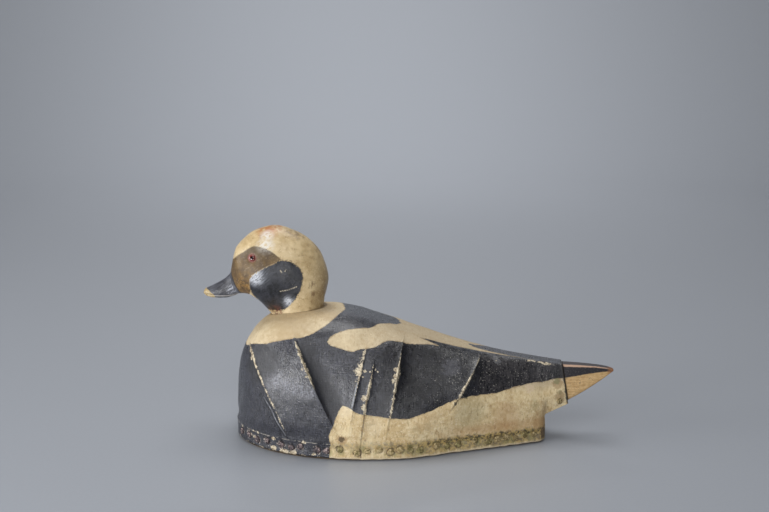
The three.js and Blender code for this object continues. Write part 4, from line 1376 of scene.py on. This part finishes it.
# %% Canvas: single marks, painted shade and highlight, the neck and the tail seam
MARKS_AND_PAINTED_LIGHT = [
    ((-60.5, -80.6, 21.5), 8, 0.45, (150, 104, 52)),
    ((-60.5, -80.6, 21.5), 4.6, 0.9, (80, 62, 30)),
    ((-38, -80.2, 20.7), 2.5, 0.6, (120, 88, 50)),
    ((10.3, -72.1, 30.8), 7, 0.22, (120, 102, 62)),
    ((20.7, -69.3, 31.8), 7, 0.22, (120, 102, 62)),
    ((47.8, -59.8, 52), 2.6, 0.9, (42, 34, 26)),
    ((57.4, -52.9, 57.6), 4.2, 0.9, (16, 15, 16)),
    # painted highlight on the upper part of the fifth panel
    ((42.4, -38.1, 81.1), 15, 0.3, (104, 104, 112)),
    ((88.5, -18, 83), 7, 0.4, (132, 132, 134)),
    # painted shade in the dip just behind the fifth hoop
    ((7, -61, 66), 24, 0.6, (15, 15, 19)),
    ((121.4, -18.1, 54.6), 8, 0.5, (222, 200, 172)),
    ((132.9, -21.9, 23.3), 16, 0.4, (150, 116, 70)),
    ((150, -10, 57), 9, 0.5, (150, 112, 66)),
    ((152, -10, 45), 9, 0.55, (140, 104, 60)),
    ((149.1, -9.9, 59.7), 5, 0.7, (128, 128, 86)),
    ((149.4, -8.1, 70.5), 9, 0.75, (28, 27, 28)),
    ((151.7, -10.7, 49), 4.5, 0.5, (134, 126, 88)),
    # painted shade where the fold at the stern turns away
    ((137.5, -21, 10), 9, 0.75, (78, 56, 40)),
]
for place, radius, share, colour in MARKS_AND_PAINTED_LIGHT:
    close = cloth.near(place, radius)
    spot = (close + mottle * 1.6 + grit * 1.8).step(0.3, 0.75) * close.step(0, 0.2)
    body = body.coat(spot * share, *colour)
BLOTCHES_AND_SHADOW = [
    # painted shade on the cape behind the head
    ((-110, -38, 116), 34, 0.6, (178, 154, 116)),
    ((-78, -24, 124), 20, 0.35, (186, 160, 122)),
    ((62, -53, 42), 26, 0.34, (170, 162, 126)),
    ((98, -36, 34), 22, 0.36, (190, 146, 98)),
    ((20, -70, 40), 20, 0.3, (200, 170, 122)),
    ((-58, -78, 52), 15, 0.5, (232, 216, 182)),
    ((-30, -78, 34), 14, 0.35, (226, 208, 172)),
]
for place, radius, share, colour in BLOTCHES_AND_SHADOW:
    soft = (cloth.near(place, radius) + mottle * 0.9).step(0.05, 0.9) * cream
    body = body.coat(soft * share, *colour)
joint = (cloth.noted("neck") + grit * 2).step(1.2, 0.1)
body = body.coat(joint * 0.9, 62, 46, 30)
# Darker cream round the foot of the neck: dirt, with painted shade under the head
body = body.coat((cloth.noted("neck") + mottle * 14 + grit * 6).step(14, 1) * 0.55, 150, 126, 90)
to_seam = (upwards - SEAM_FOOT["z"]) * SEAM_LEAN + SEAM_FOOT["x"] - along_hull
body = body.coat((to_seam + mottle * 3 + grit * 1.6).step(2.2, 0.7) * 0.95, 40, 33, 26)
relief = threads_up * 0.24 + threads_along * 0.24 + grit * 0.14 + cream * 0.06 - bare * 0.1 - split * 0.3
relief = relief + cloth.noise(3.5, detail=4, shift=51) * 0.25
burnished = cloth.near((-112, -62, 90), 40)
gloss = 0.3 - burnished * 0.06 + dull_and_shaded * 0.2 + cream * 0.28 + bare * 0.25 + mottle * 0.16 + grit * 0.2
cloth.dress(canvas, body, gloss, relief)

# %% [markdown]
# ## Board wood
# Weathered pine, darker over its sides and top: dark wood, with painted shade under the
# hem. The rings of a plank are cylinders about the tree's heart, far below the board,
# so their distance from a line along X, bent a little by noise, gives a grain that runs
# true over every face.

# %% Board
HEART_BELOW = 60
pine = Finish("weathered pine", {"Specular IOR Level": 0.3})
sideways = pine.axis("Y")
depth = pine.axis("Z")
below = depth + HEART_BELOW
heart = pine.maths("SQRT", sideways * sideways + below * below, 0.0)
wavy = heart * 1.3 + pine.noise((160, 20, 20)) * 16
rings_of_growth = pine.maths("SINE", wavy, 0.0)
grain = pine.noise((40, 1.2, 1.2), detail=4)
wood = pine.blend((rings_of_growth + grain * 2).step(-1, 1.4), tint(92, 74, 52), tint(136, 114, 84))
# darker over the sides and top: dark wood, with painted shade under the hem
wood = wood.coat(depth.step(0.3, 2.2), 50, 46, 42)
wood = wood.coat(pine.noise(7, detail=5).step(0.02, 0.25) * 0.5, 58, 47, 36)
pine.dress(board, wood, 0.75 + grain * 0.2, grain * 0.3 + rings_of_growth * 0.06)

# %% [markdown]
# ## Painted head
# Smooth oil paint on wood, glossier than the canvas: cream over the crown and the neck,
# a grey-brown face, a black cheek and a slate bill with a cream nail. It has rubbed
# through to orange primer on the crown, and dirt sits round the neck and at each edge.

# %% Head: base colours
oil = Finish("painted head", {"Specular IOR Level": 0.5})
clouds = oil.noise(16, shift=2)
dabs = oil.noise(4.5, detail=4, shift=4)
pores = oil.noise(1.3, detail=3, rough=0.6, shift=6)
jagged = dabs * 1.6 + pores * 1.4
behind = oil.axis("X")
above = oil.axis("Z")
slanted = oil.node("VectorRotate", {"rotation_type": "Y_AXIS"}, {"Vector": oil.place, "Angle": 0.7})
strokes = oil.noise((8, 1.2, 1.2), shift=8, place=slanted)
runs = oil.noise((1.6, 1.6, 9), detail=4, shift=10)

cream_head = oil.blend((clouds + dabs * 0.7).step(-0.25, 0.3), tint(212, 190, 148), tint(186, 160, 116))
nape = (behind + clouds * 30).step(-100, -80)
cream_head = cream_head.coat(nape * 0.62, 136, 110, 72)
cream_head = cream_head.coat(runs.step(0.12, 0.3) * nape * 0.6, 104, 80, 48)
cream_head = cream_head.coat(pores.step(0.05, 0.2) * 0.55, 230, 212, 176)
cream_head = cream_head.coat((dabs - pores).step(0.14, 0.34) * 0.6, 120, 92, 56)
streaked = oil.near((-93.6, -19, 158), 6) | oil.near((-93, -19, 149), 5)
streaked = streaked * (runs + pores * 0.5).step(-0.06, 0.1)
cream_head = cream_head.coat(streaked * 0.7, 104, 74, 44)
rubbed = oil.near((-137, -5, 213), 20) * (dabs + pores * 0.6).step(-0.16, 0.06)
cream_head = cream_head.coat(rubbed * 0.9, 178, 112, 62)
specked = oil.near((-99, -8, 196), 30) * (pores + dabs * 0.6).step(0.02, 0.16)
cream_head = cream_head.coat(specked * 0.32, 112, 92, 64)
darkened = oil.near((-112, -2, 208), 16) * (dabs + pores).step(-0.1, 0.15)
cream_head = cream_head.coat(darkened * 0.55, 126, 106, 82)

face_colour = oil.blend((clouds + dabs).step(-0.3, 0.3), tint(84, 63, 36), tint(120, 95, 55))
face_colour = face_colour.coat((above + clouds * 12).step(181, 194) * 0.75, 104, 92, 74)
ochre = oil.near((-158, -22, 158), 19) * (dabs + pores).step(-0.1, 0.15)
face_colour = face_colour.coat(ochre * 0.65, 158, 118, 58)
face_colour = face_colour.coat((pores + strokes).step(0.08, 0.26) * 0.5, 160, 142, 116)
face_colour = face_colour.coat((pores - strokes).step(0.12, 0.3) * 0.5, 62, 48, 36)
cheek_colour = oil.blend((clouds + dabs + pores).step(-0.35, 0.45), tint(13, 13, 15), tint(58, 59, 66))
# Painted highlights on the glossy black cheek, at its front end and low at the back
cheek_highlight = oil.near((-147, -27, 169), 17) | oil.near((-116.5, -23.5, 141.5), 11)
cheek_colour = cheek_colour.coat(cheek_highlight * strokes.step(-0.26, 0.24) * 0.7, 160, 164, 174)
cheek_highlight_core = (oil.near((-149, -27, 167), 11) | oil.near((-117, -24, 142), 6)) * (strokes + pores).step(-0.3, 0.1)
cheek_colour = cheek_colour.coat(cheek_highlight_core * 0.9, 214, 217, 224)
nicks = oil.noise(1.5, detail=1, shift=14).step(0.22, 0.3) * behind.step(-128, -116)
cheek_colour = cheek_colour.coat(nicks * 0.7, 170, 158, 132)
slate = (clouds + strokes + pores * 0.5).step(-0.3, 0.3)
bill_colour = oil.blend(slate, tint(52, 52, 57), tint(94, 95, 102))
# A painted highlight near the base of the bill
bill_shine = oil.near((-176, -11, 149), 9) * (strokes + pores).step(-0.1, 0.2)
bill_colour = bill_colour.coat(bill_shine * 0.75, 188, 190, 198)

# %% Head: where each colour lies
face = (oil.noted("face") + jagged * 0.7).step(-0.7, 0.7)
hatched = strokes * (behind.step(-122, -108) | above.step(150, 138))
cheek = (oil.noted("cheek") + jagged * 1.0 + hatched * 3 + pores * 5).step(-0.4, 0.4)
bill = (oil.noted("bill") + jagged * 0.5).step(-0.4, 0.4)
nail = (oil.noted("nail") + jagged * 0.6).step(-0.5, 0.5)
skull = oil.blend(face, cream_head, face_colour)
# A painted highlight on the brow and the crown
sheen = oil.near((-139, -20, 197), 12) | oil.near((-138, -14, 205), 10)
sheen = sheen * (dabs + strokes).step(-0.25, 0.1)
skull = skull.coat(sheen * (0.8 - face * 0.35), 232, 228, 220)
skull = oil.blend(cheek, skull, cheek_colour)
cheek_rim = abs(oil.noted("cheek") + dabs * 1.5).step(1.0, 0.2) * (pores + dabs).step(-0.02, 0.16)
skull = skull.coat(cheek_rim * 0.65, 176, 150, 108)
chin = oil.near((-158, -12, 155), 11).step(0.05, 0.5)
skull = skull.coat(chin * 0.75, 116, 90, 58)
throat = oil.near((-131, -19, 129), 12) | oil.near((-146, -8, 138), 7)
skull = skull.coat(throat * (dabs + pores).step(-0.1, 0.1) * 0.85, 104, 58, 40)
skull = skull.coat(throat * (pores - dabs).step(0.02, 0.14) * 0.8, 34, 28, 28)
skull = oil.blend(bill, skull, bill_colour)
skull = skull.coat(abs(oil.noted("bill") + pores).step(1.0, 0.2) * 0.8, 44, 38, 34)
parting = abs(oil.noted("mandible") + 0.4).step(1.1, 0.3) * bill * behind.step(-198, -192)
skull = skull.coat(parting * 0.75, 160, 156, 152)
skull = oil.blend(nail, skull, oil.blend(dabs.step(-0.2, 0.2), tint(198, 178, 134), tint(160, 138, 100)))
pale_line = (oil.noted("pale_line") + pores * 1.2).step(0.95, 0.3)
skull = skull.coat(pale_line * 0.9, 208, 196, 172)
socket_ring = abs(oil.noted("eye") - 3.6 + dabs).step(1.6, 0.4)
skull = skull.coat(socket_ring * 0.6, 142, 84, 74)
foot_dirt = (above + dabs * 16).step(136, 124) * (pores + dabs).step(-0.1, 0.2)
skull = skull.coat(foot_dirt * 0.5, 118, 84, 50)
oil.dress(
    head,
    skull,
    0.34 + face * 0.1 + dabs * 0.2,
    pores * 0.16 + strokes * 0.1 + dabs * 0.2 - pale_line * 0.2,
)

# %% Eyes
stare = Finish("glass eye", {"Coat Weight": 0.4, "Coat Roughness": 0.05, "Specular IOR Level": 0.5})
out_from_middle = stare.noted("centre")
iris = stare.blend(out_from_middle.step(1.4, 2.3), tint(34, 14, 12), tint(126, 60, 54))
iris = iris.coat(out_from_middle.step(2.9, 3.7), 176, 128, 118)
stare.dress([bpy.data.objects["glass_eye_left"], bpy.data.objects["glass_eye_right"]], iris, 0.12)

# %% [markdown]
# ## Tail paint and copper
# The tail is painted in the same two colours: a dark top and a dark wedge along the
# side, over cream. Its upper edges are rubbed to pink primer and orange wood. The tack
# heads were painted over with the hem, so bare brown copper shows only where it wore.

# %% Tail board
stick = Finish("painted tail", {"Specular IOR Level": 0.4})
rearward = stick.axis("X")
t_spots = stick.noise(3.5, detail=4)
t_specks = stick.noise(1.2, detail=3, rough=0.6, shift=5)
t_grain = stick.noise((14, 1.1, 1.1), detail=4, shift=3)
down = stick.noted("top_edge")
up_from_under = stick.noted("under_edge")
tail_paint = stick.blend((t_spots + t_grain).step(-0.25, 0.3), tint(214, 181, 132), tint(184, 148, 98))
tail_paint = tail_paint.coat((t_specks - t_spots).step(0.1, 0.26) * 0.7, 104, 76, 46)
tail_paint = tail_paint.coat((up_from_under + t_spots * 2).step(1.8, 0.4) * 0.6, 146, 100, 58)
wedge_depth = (TAIL_TIP_X - rearward) * 0.235 + 2.5
wedge = (down + t_spots * 1.2 - wedge_depth).step(0.5, -0.5)
dark_top = stick.blend(t_specks.step(0.0, 0.3), tint(42, 40, 44), tint(92, 86, 84))
tail_paint = stick.blend(wedge, tail_paint, dark_top)
rubbed_depth = (TAIL_TIP_X - rearward) * 0.03 + 0.9
rubbed_edge = (down + t_spots * 1.5 - rubbed_depth).step(0.4, -0.4)
tail_paint = tail_paint.coat(rubbed_edge * 0.9, 196, 162, 138)
tail_paint = tail_paint.coat((down + t_spots * 0.8).step(0.7, 0.2), 76, 72, 74)
tip = (rearward + t_spots * 8).step(199, 204)
tail_paint = tail_paint.coat(tip * 0.8, 150, 102, 66)
past_seam = rearward - (stick.axis("Z") - SEAM_FOOT["z"]) * SEAM_LEAN - SEAM_FOOT["x"]
seam_dark = (past_seam + t_spots).step(1.3, 0.5)
tail_paint = tail_paint.coat(seam_dark * 0.8, 46, 36, 28)
stick.dress(tail_board, tail_paint, 0.5 + t_spots * 0.25, t_grain * 0.25 + t_spots * 0.15)

# %% Tacks
copper = Finish("old copper", {"Specular IOR Level": 0.5})
spots = copper.noise(2.2, detail=4)
fine_spots = copper.noise(1.0, detail=3, shift=3)
age = copper.noted("age")
paint_on = (copper.axis("X") + spots * 12).step(-72, -62)
dark_head = copper.blend(spots.step(-0.15, 0.15), tint(48, 44, 48), tint(108, 90, 90))
dark_head = dark_head.coat((fine_spots + spots).step(0.06, 0.24), 196, 182, 176)
green_head = copper.blend(spots.step(-0.15, 0.15), tint(160, 148, 100), tint(104, 94, 54))
buff_head = copper.blend(spots.step(-0.2, 0.15), tint(202, 182, 140), tint(142, 124, 80))
pale_head = copper.blend((age + spots * 1.5).step(0.35, 0.65), buff_head, green_head)
pale_head = pale_head.coat((fine_spots - spots).step(0.1, 0.3) * 0.7, 88, 72, 40)
soiled = (copper.axis("X") + spots * 30).step(10, 60) * (spots + fine_spots).step(-0.15, 0.1)
pale_head = pale_head.coat(soiled * 0.65, 98, 82, 48)
heads = copper.blend(paint_on, dark_head, pale_head)
edge_dark = (copper.noted("rim") + spots * 0.4).step(0.85, 1.0) * age.step(0.2, 0.8)
heads = heads.coat(edge_dark * 0.5, 60, 50, 34)
copper.plug(copper.shader.inputs["Metallic"], 0.3 - paint_on * 0.25)
copper.dress(tacks, heads, 0.5 + paint_on * 0.2 + spots * 0.3, spots * 0.3 + fine_spots * 0.2)

# %% [markdown]
# ## Floor, backdrop and light
# The photograph was taken on a sheet of grey paper that sweeps up behind the object. So
# that no edge shows from any side, the sheet is a round cove here: a profile of flat
# floor, quarter circle and wall, turned about the upright axis through the decoy. Large
# square lamps stand at the left, above and in front, because their light is soft. Two
# small ones near the floor put the long glints on the black, and one lights the wall.

# %% Cove
FLOOR_RADIUS, COVE_RADIUS, WALL_TOP = 1900, 1500, 3400
COVE_SIDES = 96
WALL_RADIUS = FLOOR_RADIUS + COVE_RADIUS
bend = np.linspace(0, np.pi / 2, 20)
cove_out = np.concatenate([[0, 300, 1200], FLOOR_RADIUS + COVE_RADIUS * np.sin(bend), [WALL_RADIUS]])
cove_up = np.concatenate([[0, 0, 0], COVE_RADIUS * (1 - np.cos(bend)), [WALL_TOP]])
round_about = 2 * np.pi * np.arange(COVE_SIDES) / COVE_SIDES
spoke = np.stack([np.cos(round_about), np.sin(round_about), 0 * round_about], -1)
cove_rings = cove_out[:, None, None] * spoke + cove_up[:, None, None] * np.array([0, 0, 1])
points, triangles, _ = skin(cove_rings)
cove = make_mesh("cove", points, triangles)
paper = Finish("grey paper", {"Specular IOR Level": 0.35})
fibres = paper.noise(3, detail=2)
paper_colour = paper.blend(fibres.step(-0.5, 0.5), tint(157, 161, 168), tint(161, 165, 172))
paper.dress(cove, paper_colour, 0.4 + fibres * 0.02)

# %% Lamps
LAMPS = {
    "left": {"at": (-1.75, -0.4, 0.6), "size": 0.8, "watts": 13, "towards": (0, 0, 0.08)},
    "top": {"at": (0.0, 0.3, 1.8), "size": 1.0, "watts": 15.6, "towards": (0, 0, 0.08)},
    "front": {"at": (0.1, -1.6, 1.5), "size": 1.0, "watts": 11, "towards": (0, 0, 0.08)},
    "low_left": {"at": (-0.74, -0.84, 0.16), "size": 0.3, "watts": 4.6, "towards": (0, 0, 0.06)},
    "low_front": {"at": (-0.02, -1.05, 0.1), "size": 0.3, "watts": 1.9, "towards": (0, 0, 0.06)},
    "wall": {"at": (-0.2, 1.9, 1.5), "size": 0.8, "watts": 19.4, "towards": (-0.2, 2.8, 0)},
}
for name, lamp in LAMPS.items():
    light = bpy.data.lights.new(name, "AREA")
    light.shape = "SQUARE"
    light.size = lamp["size"]
    light.energy = lamp["watts"]
    stand = bpy.data.objects.new(name, light)
    stand.location = lamp["at"]
    aim = Vector(lamp["towards"]) - stand.location
    stand.rotation_euler = aim.to_track_quat("-Z", "Y").to_euler()
    bpy.context.collection.objects.link(stand)

world = bpy.data.worlds.new("room")
world.use_nodes = True
world.node_tree.nodes["Background"].inputs["Color"].default_value = (1.0, 1.0, 1.0, 1)
world.node_tree.nodes["Background"].inputs["Strength"].default_value = 0.2
bpy.context.scene.world = world
bpy.context.scene.view_settings.view_transform = "Standard"
